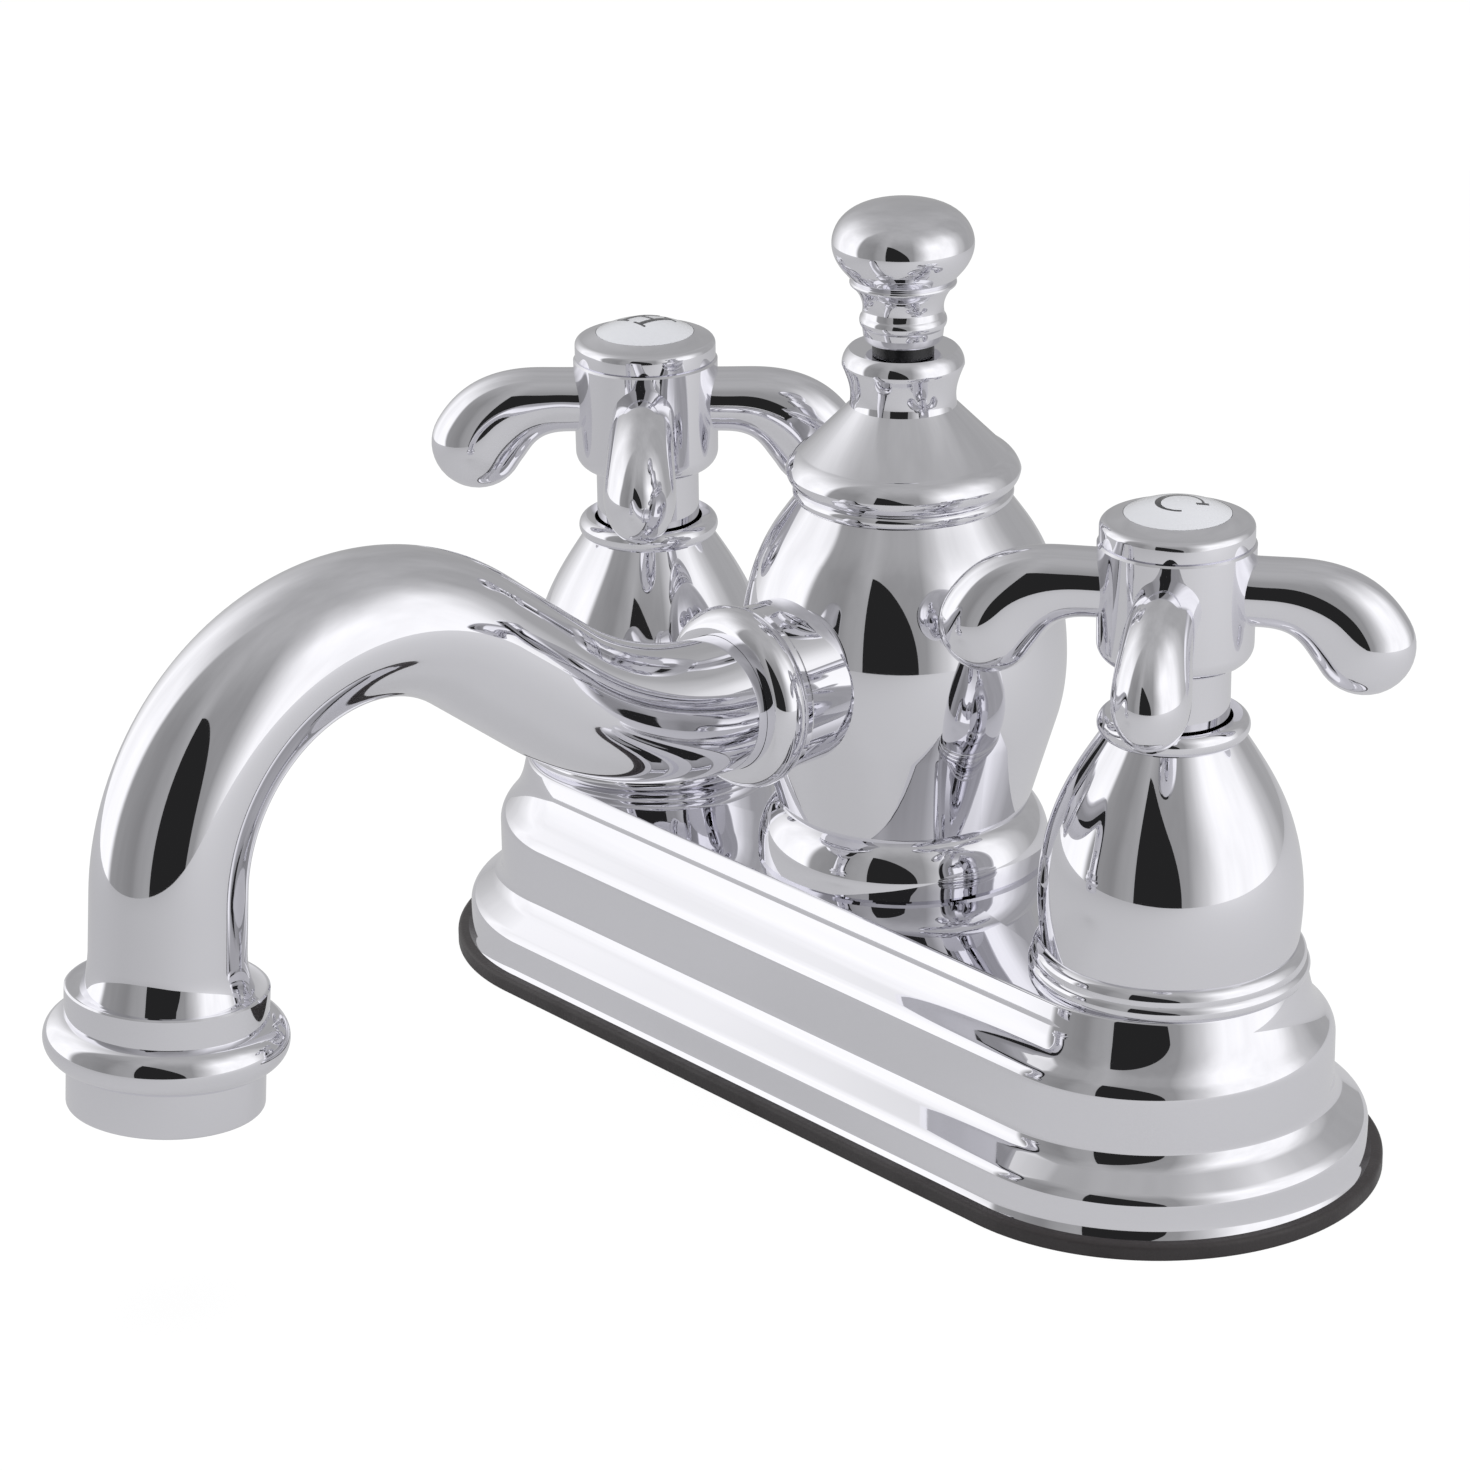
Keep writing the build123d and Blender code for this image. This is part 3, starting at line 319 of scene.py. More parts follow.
def group_socket(group, name, in_out, kind="NodeSocketFloat", value=None):
    """Adds one named socket to a node group."""
    socket = group.interface.new_socket(name=name, in_out=in_out, socket_type=kind)
    if value is not None:
        socket.default_value = value


def add_node(nodes, kind, inputs=(), **settings):
    """A shader node with these settings and socket values."""
    node = nodes.new("ShaderNode" + kind)
    for key, value in settings.items():
        setattr(node, key, value)
    for key, value in dict(inputs).items():
        node.inputs[key].default_value = value
    return node


def join_up(links, *pairs):
    """Links each first node's output to the second node's input."""
    for first, output, second, socket in pairs:
        links.new(first.outputs[output], second.inputs[socket])


def polish_marks_group():
    """Node group: cloudy handling marks in the roughness and a fine waviness for the bump."""
    group = bpy.data.node_groups.new("polish_marks", "ShaderNodeTree")
    for name, value in (("Roughness", 0.05), ("Marks", 0.02), ("Mark Scale", 60.0), ("Grain Scale", 900.0)):
        group_socket(group, name, "INPUT", value=value)
    for name in ("Roughness", "Height"):
        group_socket(group, name, "OUTPUT")
    nodes = group.nodes
    source, target = nodes.new("NodeGroupInput"), nodes.new("NodeGroupOutput")
    place = add_node(nodes, "TexCoord")
    clouds = add_node(nodes, "TexNoise", {"Detail": 5.0, "Roughness": 0.6})
    grain = add_node(nodes, "TexNoise", {"Detail": 2.0})
    patches = add_node(nodes, "MapRange", {"From Min": 0.42, "From Max": 0.70})
    spread = add_node(nodes, "Math", operation="MULTIPLY_ADD")
    join_up(
        group.links,
        (place, "Object", clouds, "Vector"), (place, "Object", grain, "Vector"),
        (source, "Mark Scale", clouds, "Scale"), (source, "Grain Scale", grain, "Scale"),
        (clouds, "Fac", patches, "Value"), (patches, "Result", spread, 0),
        (source, "Marks", spread, 1), (source, "Roughness", spread, 2),
        (spread, "Value", target, "Roughness"), (grain, "Fac", target, "Height"),
    )


def tone_drift_group():
    """Node group: a slow change of tone over a surface, between its own colour and a second one."""
    group = bpy.data.node_groups.new("tone_drift", "ShaderNodeTree")
    group_socket(group, "Color", "INPUT", "NodeSocketColor", (0.8, 0.8, 0.8, 1.0))
    group_socket(group, "Drift Color", "INPUT", "NodeSocketColor", (0.7, 0.7, 0.7, 1.0))
    group_socket(group, "Drift Scale", "INPUT", value=40.0)
    group_socket(group, "Color", "OUTPUT", "NodeSocketColor")
    nodes = group.nodes
    source, target = nodes.new("NodeGroupInput"), nodes.new("NodeGroupOutput")
    place = add_node(nodes, "TexCoord")
    clouds = add_node(nodes, "TexNoise", {"Detail": 3.0})
    mix = add_node(nodes, "Mix", data_type="RGBA")
    join_up(
        group.links,
        (place, "Object", clouds, "Vector"), (source, "Drift Scale", clouds, "Scale"),
        (clouds, "Fac", mix, "Factor"), (source, "Color", mix, "A"), (source, "Drift Color", mix, "B"),
        (mix, "Result", target, "Color"),
    )


def finish_material(name, color, drift, metallic, roughness, marks, mark_scale, grain_scale, bump, coat):
    """A finish made of the shared groups and one shader."""
    material = bpy.data.materials.new(name + "_finish")
    material.use_nodes = True
    nodes = material.node_tree.nodes
    shader = nodes["Principled BSDF"]
    for socket, value in (("Metallic", metallic), ("Coat Weight", coat), ("Coat Roughness", COAT_ROUGHNESS)):
        shader.inputs[socket].default_value = value
    groups = bpy.data.node_groups
    drifted = [c * drift for c in color]
    tone = add_node(nodes, "Group", node_tree=groups["tone_drift"])
    tone.inputs["Color"].default_value = (*color, 1.0)
    tone.inputs["Drift Color"].default_value = (*drifted, 1.0)
    surface = add_node(nodes, "Group", node_tree=groups["polish_marks"])
    for socket, value in (
        ("Roughness", roughness), ("Marks", marks), ("Mark Scale", mark_scale), ("Grain Scale", grain_scale)
    ):
        surface.inputs[socket].default_value = value
    relief = add_node(nodes, "Bump", {"Strength": bump, "Distance": RELIEF_DEPTH * MM})
    join_up(
        material.node_tree.links,
        (tone, "Color", shader, "Base Color"), (surface, "Roughness", shader, "Roughness"),
        (surface, "Height", relief, "Height"), (relief, "Normal", shader, "Normal"),
    )


def dress(piece, finish, body, *nodes, slot=None):
    """Gives a new piece its finish, its body and the CAD nodes that it stands for."""
    piece.data.materials.clear()
    piece.data.materials.append(bpy.data.materials[finish + "_finish"])
    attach(piece, body)
    if nodes:
        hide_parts(*nodes)


class FaucetColors(PropertyGroup):
    """Colours of the finishes."""

    chrome: FloatVectorProperty(
        name="Chrome", description="Tint of the polished chrome plate", subtype="COLOR",
        default=(0.866, 0.862, 0.903), min=0.0, max=1.0,
    )
    brass: FloatVectorProperty(
        name="Brass", description="Colour of the unplated brass under the deck plate", subtype="COLOR",
        default=(0.72, 0.53, 0.26), min=0.0, max=1.0,
    )
    gasket: FloatVectorProperty(
        name="Gasket", description="Colour of the rubber sheet under the deck plate", subtype="COLOR",
        default=(0.031, 0.027, 0.028), min=0.0, max=1.0,
    )
    porcelain: FloatVectorProperty(
        name="Porcelain", description="Colour of the handles' buttons", subtype="COLOR",
        default=(0.85, 0.86, 0.905), min=0.0, max=1.0,
    )
    letter: FloatVectorProperty(
        name="Letter", description="Colour of the letters on the buttons", subtype="COLOR",
        default=(0.03, 0.03, 0.035), min=0.0, max=1.0,
    )


class FaucetSizes(PropertyGroup):
    """Sizes that a user would change."""

    plate_end_centres: FloatProperty(
        name="Plate End Centres", description="Distance between the centres of the deck plate's round ends",
        default=0.0952, min=0.05, max=0.2, unit="LENGTH",
    )
    hot_turn: FloatProperty(
        name="Hot Handle Turn", description="Angle of the hot handle's arms from the line between the handles",
        default=math.radians(47.8), min=-math.pi, max=math.pi, unit="ROTATION",
    )
    cold_turn: FloatProperty(
        name="Cold Handle Turn", description="Angle of the cold handle's arms from the line between the handles",
        default=math.radians(37.6), min=-math.pi, max=math.pi, unit="ROTATION",
    )
    tube_root_radius: FloatProperty(
        name="Tube Root Radius", description="Radius of the spout's tube where its nut holds it",
        default=0.0088, min=0.004, max=0.01, unit="LENGTH",
    )
    tube_end_radius: FloatProperty(
        name="Tube End Radius", description="Radius of the spout's tube at its outlet",
        default=0.00945, min=0.004, max=0.01, unit="LENGTH",
    )
    turning_steps: IntProperty(
        name="Turning Steps", description="Faces round each turned piece", default=128, min=24, max=256,
    )


class FAUCET_OT_finishes(Operator):
    """Make the finishes and give the CAD pieces theirs"""

    bl_idname = "faucet.finishes"
    bl_label = "Make Finishes"

    def execute(self, context):
        polish_marks_group()
        tone_drift_group()
        colors = context.scene.faucet_colors
        for name, color, *values in FINISHES:
            finish_material(name, getattr(colors, color) if isinstance(color, str) else color, *values)
        for record_row in frame["record"]["subparts"]:
            node = frame["nodes"][record_row["node"]]
            node.data.materials.clear()
            node.data.materials.append(bpy.data.materials[record_row["material_slot"] + "_finish"])
        return {"FINISHED"}


# Deck plate and gasket

GASKET_TOP = 2.0
PLATE_TOP = 27.5
LOWER_TIER = {"r": 28.1, "wall_top": 5.9, "round": 2.2, "ledge": 55.0, "cove": 3.4, "lean": 0.0}
UPPER_TIER = {"r": 23.6, "wall_top": 18.1, "round": 2.9, "ledge": 50.0, "cove": 7.25, "lean": 13.0}
PLATE_RIM_R = 19.4
RIM_ROUND = 0.5
END_STRETCH = 0.48
PLATE_EXTRA_STEPS = 62
PLATE_HOLES = {"valve": 11.8, "body": 9.8, "low": 20, "high": 30}
GASKET_EDGE = {"r": 30.1, "round": 0.6}
GASKET_HOLES = {"valve": 10.8, "slot": 4.5, "slot_reach": 3.5, "low": -1, "high": 3}
PLATE_INSIDE = [(26.0, 2.0), (26.0, 6.0), (21.3, 10.8), (21.3, 17.5), (16.5, 25.5), (0, 25.5)]


def tier(start, spec, next_r):
    """Stations of one moulded tier: wall, rounded shoulder, sloping ledge and cove up to the next wall's lean."""
    shoulder = arc((spec["r"] - spec["round"], spec["wall_top"]), spec["round"], 0, spec["ledge"])
    slope, lean = math.radians(spec["ledge"]), math.radians(spec["lean"])
    centre_r = next_r + spec["cove"] * math.cos(lean)
    run = (shoulder[-1][0] - centre_r + spec["cove"] * math.cos(slope)) / math.sin(slope)
    cove_low = shoulder[-1][1] + run * math.cos(slope)
    centre = (centre_r, cove_low + spec["cove"] * math.sin(slope))
    return joined([start], shoulder, arc(centre, spec["cove"], 180 + spec["ledge"], 180 + spec["lean"], 12))


def plate_tiers():
    """The stations of the cover's foot and of its two tiers."""
    foot = [(LOWER_TIER["r"] + 0.5, GASKET_TOP), (LOWER_TIER["r"], GASKET_TOP + 1.0)]
    lower = tier(foot[-1], LOWER_TIER, UPPER_TIER["r"])
    return foot, lower, tier(lower[-1], UPPER_TIER, PLATE_RIM_R)


def plate_stations():
    """The stepped cover's half section, from its foot up to the middle of its top."""
    foot, lower, upper = plate_tiers()
    rise = PLATE_TOP - RIM_ROUND - upper[-1][1]
    rim_r = PLATE_RIM_R - rise * math.tan(math.radians(UPPER_TIER["lean"]))
    edge = arc((rim_r - RIM_ROUND, PLATE_TOP - RIM_ROUND), RIM_ROUND, UPPER_TIER["lean"], 90, 4)
    return joined(foot, lower, upper, edge, [(0, PLATE_TOP)])


def stretch_ends(plate):
    """Draws the upper tier outwards at both ends, by a share of how far its profile leans in."""
    lean = math.tan(math.radians(UPPER_TIER["lean"]))
    upper = plate_tiers()[2]
    for (r, z), (next_r, next_z) in zip(upper, upper[1:]):
        inwards = r - next_r - lean * (next_z - z)
        if inwards > 0:
            for side in (-1, 1):
                pull_ends(plate, side, END_STRETCH * inwards, (z + next_z) / 2)


class FAUCET_OT_deck(Operator):
    """Model the stepped deck plate and the gasket under it"""

    bl_idname = "faucet.deck"
    bl_label = "Model Deck Plate"

    def execute(self, context):
        sizes = context.scene.faucet_sizes
        half_run = sizes.plate_end_centres / MM / 2
        steps = 2 * (sizes.turning_steps // 2) + PLATE_EXTRA_STEPS
        outline = joined(plate_stations(), reversed(PLATE_INSIDE))
        plate = turned("deck_plate_chrome", outline, steps, closed=True)
        pull_apart(plate, half_run)
        stretch_ends(plate)
        low, high = PLATE_HOLES["low"], PLATE_HOLES["high"]
        holes = [plug(PLATE_HOLES["valve"], low, high, x=side * VALVE_X) for side in (-1, 1)]
        combine(plate, "DIFFERENCE", [*holes, plug(PLATE_HOLES["body"], low, high, y=BODY_Y)])
        dress(plate, "polished_chrome", "faucet", "deck_plate")
        edge_r, edge = GASKET_EDGE["r"], GASKET_EDGE["round"]
        rounding = arc((edge_r - edge, GASKET_TOP - edge), edge, 0, 90, 5)
        sheet = turned("deck_gasket_rubber", joined([(0, 0), (edge_r, 0)], rounding, [(0, GASKET_TOP)]), steps)
        pull_apart(sheet, half_run)
        low, high = GASKET_HOLES["low"], GASKET_HOLES["high"]
        slot = pull_apart(plug(GASKET_HOLES["slot"], low, high), GASKET_HOLES["slot_reach"])
        put(slot, place=(0, BODY_Y, 0))
        holes = [plug(GASKET_HOLES["valve"], low, high, x=side * VALVE_X) for side in (-1, 1)]
        combine(sheet, "DIFFERENCE", [slot, *holes])
        dress(sheet, "gasket_rubber", "faucet", "deck_gasket")
        return {"FINISHED"}


# Bells

class FAUCET_OT_bells(Operator):
    """Model the two bells over the valves"""

    bl_idname = "faucet.bells"
    bl_label = "Model Bells"

    def execute(self, context):
        outline = joined(
            through((17.3, 27.5), (17.8, 28.475), (17.3, 29.45)),
            through((17.3, 29.45), (17.3, 30.33), (16.3, 31.4)),
            smooth([(16.3, 31.4), (16.7, 36.8), (14.2, 50.0), (8.9, 59.3)], steps=14),
            through((8.9, 59.3), (9.55, 60.7), (8.55, 62.0), 14),
            [(7.4, 61.7), (7.4, 59.0), (12.4, 49.1), (14.9, 38.6), (14.9, 34.5), (11.42, 34.5), (11.42, 27.5)],
        )
        model = turned("bell_chrome", outline, context.scene.faucet_sizes.turning_steps, closed=True)
        for name, side in SIDES.items():
            bell = put(copy_of(model, name + "_bell_chrome"), place=(side * VALVE_X, 0, 0))
            dress(bell, "polished_chrome", "faucet", name + "_bell")
        remove(model)
        return {"FINISHED"}


# Handles

HUB_TOP = 84.5
ARM_HEIGHT = 78.45
ARM_BEND = {"start": 12.75, "ease": 3.2, "radius": 12.15}
ARM_OVALS = ((0.0, 4.4, 4.2), (3.2, 4.5, 4.2), (7.6, 5.3, 4.4), (12.0, 6.2, 4.65), (15.86, 6.35, 4.85))
ARM_SEGMENTS = 64
TIP_LEANS = (*range(8, 88, 8), 89.4)
BUTTON = {"dome_r": 14.6, "r": 6.64, "edge": 3.6, "foot": 1.4}
LETTER_H = {
    "place": (-1.0, 1.2), "half_gap": 1.75, "serif_y": 2.7,
    "stem": (0.75, 5.6), "serif": (2.3, 0.3), "bar": (3.4, 0.32),
}
LETTER_C = {
    "r": 3.05, "half_opening": 40, "x": 0.3, "thick": 0.30,
    "inside": (0.77, 0.87, 1), "barb": (2.5, 1.75, 0.42, 1.6, -25),
}
LETTER_RELIEF = {"lift": 0.01, "thick": 0.05}


def arm_turn(run):
    """How far the arm has turned down at a length along it, with a curvature that eases in."""
    ease = 2 * ARM_BEND["ease"]
    if run < ease:
        return run**2 / (2 * ease * ARM_BEND["radius"])
    return (run - ease / 2) / ARM_BEND["radius"]


def arm_stations():
    """A drooping arm from the hub's axis to its round tip, as (place, heading, depth and width) stations."""
    runs, depths, widths = zip(*ARM_OVALS)
    deep = smooth(list(zip(runs, depths)), (1, 0), (1, 0), 8)
    wide = smooth(list(zip(runs, widths)), (1, 0), (1, 0), 8)
    x, z, run = ARM_BEND["start"] - ARM_BEND["ease"], ARM_HEIGHT, 0.0
    stations = [((1.0, z), 0.0, ARM_OVALS[0][1:])]
    for (next_run, depth), (_, width) in zip(deep, wide):
        heading = -arm_turn((run + next_run) / 2)
        x += (next_run - run) * math.cos(heading)
        z += (next_run - run) * math.sin(heading)
        run = next_run
        stations.append(((x, z), -arm_turn(run), (depth, width)))
    heading = stations[-1][1]
    for lean in TIP_LEANS:
        reach = depth * math.sin(math.radians(lean))
        share = math.cos(math.radians(lean))
        place = (x + reach * math.cos(heading), z + reach * math.sin(heading))
        stations.append((place, heading, (depth * share, width * share)))
    return stations


def letter_bar(x, y, width, height, lean=0.0):
    """One straight stroke of a letter, as a small grid, leaning by an angle in degrees."""
    clear_selection()
    bpy.ops.mesh.primitive_grid_add(
        x_subdivisions=6, y_subdivisions=8, size=1, location=(x * MM, y * MM, 0), rotation=(0, 0, math.radians(lean))
    )
    bar = bpy.context.object
    bar.scale = (width * MM, height * MM, 1)
    bpy.ops.object.transform_apply()
    return bar


def letter_h():
    """The strokes of the letter on the hot button, a little off its middle as in the photo."""
    (x, y), gap, end_y = LETTER_H["place"], LETTER_H["half_gap"], LETTER_H["serif_y"]
    bars = [letter_bar(x + side * gap, y, *LETTER_H["stem"]) for side in (-1, 1)]
    bars += [
        letter_bar(x + side * gap, y + end * end_y, *LETTER_H["serif"]) for side in (-1, 1) for end in (-1, 1)
    ]
    return bars + [letter_bar(x, y, *LETTER_H["bar"])]


def letter_c():
    """The strokes of the letter on the cold button: a ring, thick at its side and open to the right, and a barb."""
    clear_selection()
    x, thick = LETTER_C["x"] * MM, LETTER_C["thick"] * MM
    bpy.ops.mesh.primitive_circle_add(vertices=96, radius=LETTER_C["r"] * MM, location=(x, 0, 0))
    ring = bpy.context.object
    bpy.ops.object.mode_set(mode="EDIT")
    bpy.ops.mesh.select_all(action="DESELECT")
    bpy.ops.object.mode_set(mode="OBJECT")
    for vertex in ring.data.vertices:
        vertex.select = math.degrees(abs(math.atan2(vertex.co.y, vertex.co.x))) < LETTER_C["half_opening"]
    bpy.ops.object.mode_set(mode="EDIT")
    bpy.ops.mesh.delete(type="VERT")
    bpy.ops.mesh.select_all(action="SELECT")
    bpy.ops.mesh.extrude_region_move(TRANSFORM_OT_translate={"value": (thick, 0, 0)})
    bpy.ops.transform.resize(value=LETTER_C["inside"], center_override=(x + thick, 0, 0))
    bpy.ops.object.mode_set(mode="OBJECT")
    bpy.ops.object.transform_apply()
    return [ring, letter_bar(*LETTER_C["barb"])]


def draw_letter(name, strokes, button):
    """Joins a letter's strokes, lays them on the domed button and gives them a little thickness."""
    clear_selection()
    for stroke in strokes:
        stroke.select_set(True)
    bpy.context.view_layer.objects.active = strokes[0]
    bpy.ops.object.join()
    letter = bpy.context.object
    letter.name = name
    low, high = [Vector(corner) for corner in (button.bound_box[0], button.bound_box[6])]
    put(letter, place=((low.x + high.x) / 2 / MM, (low.y + high.y) / 2 / MM, high.z / MM + 2))
    modify(
        letter, "SHRINKWRAP", target=button, wrap_method="PROJECT", use_project_z=True,
        use_negative_direction=True, use_positive_direction=False, offset=LETTER_RELIEF["lift"] * MM,
    )
    modify(letter, "SOLIDIFY", thickness=LETTER_RELIEF["thick"] * MM, offset=1.0)
    return close_up(letter)


class FAUCET_OT_handles(Operator):
    """Model the cross handles with their caps, buttons and letters"""

    bl_idname = "faucet.handles"
    bl_label = "Model Handles"

    def execute(self, context):
        sizes = context.scene.faucet_sizes
        steps = sizes.turning_steps
        hub_outline = joined(
            [(0, HUB_TOP - 3.0), (8.02, HUB_TOP - 3.0), (8.02, HUB_TOP), (9.6, HUB_TOP), (9.85, HUB_TOP - 0.25)],
            arc((7.35, 71.4), 2.4, 0, -90, 10),
            arc((7.35, 68.65), 0.35, 90, 180, 4),
            [(7.0, 58.5), (0, 58.5)],
        )
        cap_outline = joined(
            [(8.0, -3.0), (8.0, 0.0), (9.35, 0.0), (9.6, 0.25), (9.6, 1.9)],
            through((9.6, 1.9), (9.3, 2.55), (8.6, 2.8), 8),
            [(6.7, 3.6), (6.7, 1.4), (4.4, 1.4), (4.4, -3.0)],
        )
        edge, button_r, dome_r = HUB_TOP + BUTTON["edge"], BUTTON["r"], BUTTON["dome_r"]
        drop = dome_r - math.sqrt(dome_r**2 - button_r**2)
        lean = math.degrees(math.asin(button_r / dome_r))
        dome = arc((0, edge + drop - dome_r), dome_r, 90 - lean, 90, 12)
        foot = HUB_TOP + BUTTON["foot"]
        button_outline = joined([(0, foot), (button_r, foot)], dome)
        arm = swept("arm", arm_stations(), ARM_SEGMENTS)
        turned_arms = [
            put(copy_of(arm, f"arm_{index}"), Matrix.Rotation(index * math.pi / 2, 3, "Z")) for index in range(1, 4)
        ]
        models = (
            combine(turned("handle_chrome", hub_outline, steps), "UNION", [arm, *turned_arms]),
            turned("cap_chrome", cap_outline, steps, closed=True),
            turned("button_porcelain", button_outline, steps),
        )
        turns = {"hot": sizes.hot_turn, "cold": sizes.cold_turn}
        letters = {"hot": letter_h, "cold": letter_c}
        for name, side in SIDES.items():
            axis = side * VALVE_X
            hub, cap, button = [copy_of(model, f"{name}_{model.name}") for model in models]
            put(hub, Matrix.Rotation(turns[name], 3, "Z"), (axis, 0, 0))
            dress(hub, "polished_chrome", name + "_valve", name + "_handle")
            put(cap, place=(axis, 0, HUB_TOP))
            dress(cap, "polished_chrome", name + "_valve", name + "_index_cap")
            put(button, place=(axis, 0, 0))
            dress(button, "porcelain", name + "_valve", name + "_button")
            letter = draw_letter(name + "_letter", letters[name](), button)
            dress(letter, "letter_glaze", name + "_valve", slot="porcelain")
        remove(*models)
        return {"FINISHED"}


# Centre body, cap, bush and knob

JOINT_HEIGHT = 56.6
PORT = {"r": 11.0, "near": 10.0, "far": 30.0}
KNOB_FOOT = 98.3


class FAUCET_OT_body(Operator):
    """Model the urn body, its cap, the bush and the lift knob"""

    bl_idname = "faucet.body"
    bl_label = "Model Centre Body"

    def execute(self, context):
        steps = context.scene.faucet_sizes.turning_steps
        cone = [(16.6, 35.0), (20.4, 47.5)]
        body_outline = joined(
            [(18.9, 27.5), (19.4, 28.0)],
            smooth([(19.4, 28.8), (18.7, 32.35), (16.6, 35.0)], (0, 1), (-1.1, 0.7), 10),
            cone,
            smooth([(20.4, 47.5), (21.4, 57.8), (17.4, 72.2), (13.9, 77.2)], (3.8, 12.5), (-3.5, 5.0), 14),
            [(11.02, 77.2), (11.02, 71.2), (18.4, 57.8), (17.4, 47.5), (13.6, 40.5), (9.42, 40.5), (9.42, 27.5)],
        )
        body = turned("centre_body_chrome", body_outline, steps, closed=True)
        port = plug(PORT["r"], PORT["near"], PORT["far"])
        combine(body, "DIFFERENCE", [put(port, Matrix.Rotation(math.pi / 2, 3, "X"), (0, 0, JOINT_HEIGHT))])
        put(body, place=(0, BODY_Y, 0))
        dress(body, "polished_chrome", "faucet", "centre_body")
        cap_outline = joined(
            [(13.55, 77.7), (13.55, 77.25)],
            through((13.95, 77.25), (14.4, 78.1), (13.95, 78.9)),
            through((13.95, 78.9), (14.95, 79.95), (15.3, 81.0)),
            through((15.3, 81.0), (14.7, 82.25), (13.2, 83.5)),
            [(6.95, 89.8)],
            smooth([(6.95, 89.8), (6.84, 91.0), (7.94, 95.2)]),
            through((7.94, 95.2), (7.74, 96.25), (7.0, 97.3)),
            [(3.62, 97.3), (3.62, 88.0), (2.6, 88.0), (2.6, 84.0), (3.92, 84.0), (3.92, 80.0), (8.6, 80.0),
             (8.6, 71.7), (11.0, 71.7), (11.0, 77.7)],
        )
        cap = put(turned("body_cap_chrome", cap_outline, steps, closed=True), place=(0, BODY_Y, 0))
        dress(cap, "polished_chrome", "faucet", "body_cap")
        bush_outline = joined(
            [(2.45, 88.0), (3.6, 88.0), (3.6, 97.3), (4.0, 97.3)], arc((3.8, 98.05), 0.2, 0, 90, 4), [(2.45, 98.25)]
        )
        bush = put(turned("rod_bush_black", bush_outline, steps, closed=True), place=(0, BODY_Y, 0))
        dress(bush, "black_plastic", "faucet", "rod_bush")
        knob_outline = joined(
            [(0, 8.0), (2.42, 8.0), (2.42, 0), (4.8, 0), (5.1, 0.4), (5.3, 1.9)],
            through((5.3, 1.9), (5.65, 2.75), (5.32, 3.6)),
            smooth([(5.32, 3.6), (5.22, 4.5), (5.9, 6.6), (6.5, 7.4)]),
            through((6.5, 7.4), (6.9, 7.8), (6.6, 8.2), 6),
            smooth([(6.6, 8.2), (8.26, 10.2), (9.16, 13.0), (8.11, 15.8), (0, 18.3)], (0.8, 1), (-1, 0), 14),
        )
        knob = turned("lift_knob_chrome", knob_outline, steps)
        put(knob, place=(0, BODY_Y, KNOB_FOOT))
        dress(knob, "polished_chrome", "lift_control", "lift_knob")
        return {"FINISHED"}


# Spout and outlet

TUBE_START = 29.1
TUBE_SEGMENTS = 112
TUBE_TAPER = 0.85
BEND_STEPS = {"rise": 22, "arch": 56}
SPOUT_PATH = {"lead": 1.8, "rise": (47.6, 37.5), "slope": 15.1, "arch": (28.3, -123.0), "leg": 15.4}
FLARE = ((4.4, 0.0), (3.3, 0.07), (2.4, 0.2), (1.6, 0.38), (0.8, 0.62), (0.0, 0.9))
FLARE_END = 0.02
COLLAR_FLOOR = 3.35


def spout_stations(root_r, end_r):
    """The spout's tube as (place, heading, radius) stations: level lead, rise, slope, arch and leg."""
    x, z, heading = TUBE_START - BODY_Y, JOINT_HEIGHT, 0.0
    route = [((x, z), heading, 0.0)]
    length = 0.0

    def go(distance, turn=0.0, steps=1):
        nonlocal x, z, heading, length
        for _ in range(steps):
            half = math.radians(turn) / steps / 2
            chord = distance / steps if not turn else 2 * distance * math.sin(abs(half))
            heading += half
            x += chord * math.cos(heading)
            z += chord * math.sin(heading)
            heading += half
            length += distance / steps if not turn else distance * abs(2 * half)
            route.append(((x, z), heading, length))

    go(SPOUT_PATH["lead"])
    go(*SPOUT_PATH["rise"], BEND_STEPS["rise"])
    go(SPOUT_PATH["slope"])
    go(*SPOUT_PATH["arch"], BEND_STEPS["arch"])
    flare_at = len(route)
    leg = SPOUT_PATH["leg"] - COLLAR_FLOOR
    go(leg - FLARE[0][0])
    for (above, _), (next_above, _) in zip(FLARE, FLARE[1:]):
        go(above - next_above)
    go(FLARE_END)
    go(COLLAR_FLOOR - FLARE_END)
    radii = [root_r + (end_r - root_r) * (run / length) ** TUBE_TAPER for _, _, run in route]
    for index, (_, wider) in enumerate(FLARE):
        radii[flare_at + index] += wider
    return [(place, heading, (r, r)) for (place, heading, _), r in zip(route, radii)]


def on_outlet(piece):
    """Puts a piece turned about Z at the tube's lower end, its Z running back up the tube."""
    (x, z), heading, _ = spout_stations(1, 1)[-1]
    back = Vector((0, math.cos(heading), -math.sin(heading)))
    side = Vector((1, 0, 0))
    turn = Matrix((side, back.cross(side), back)).transposed()
    return put(piece, turn, (0, -x, z))


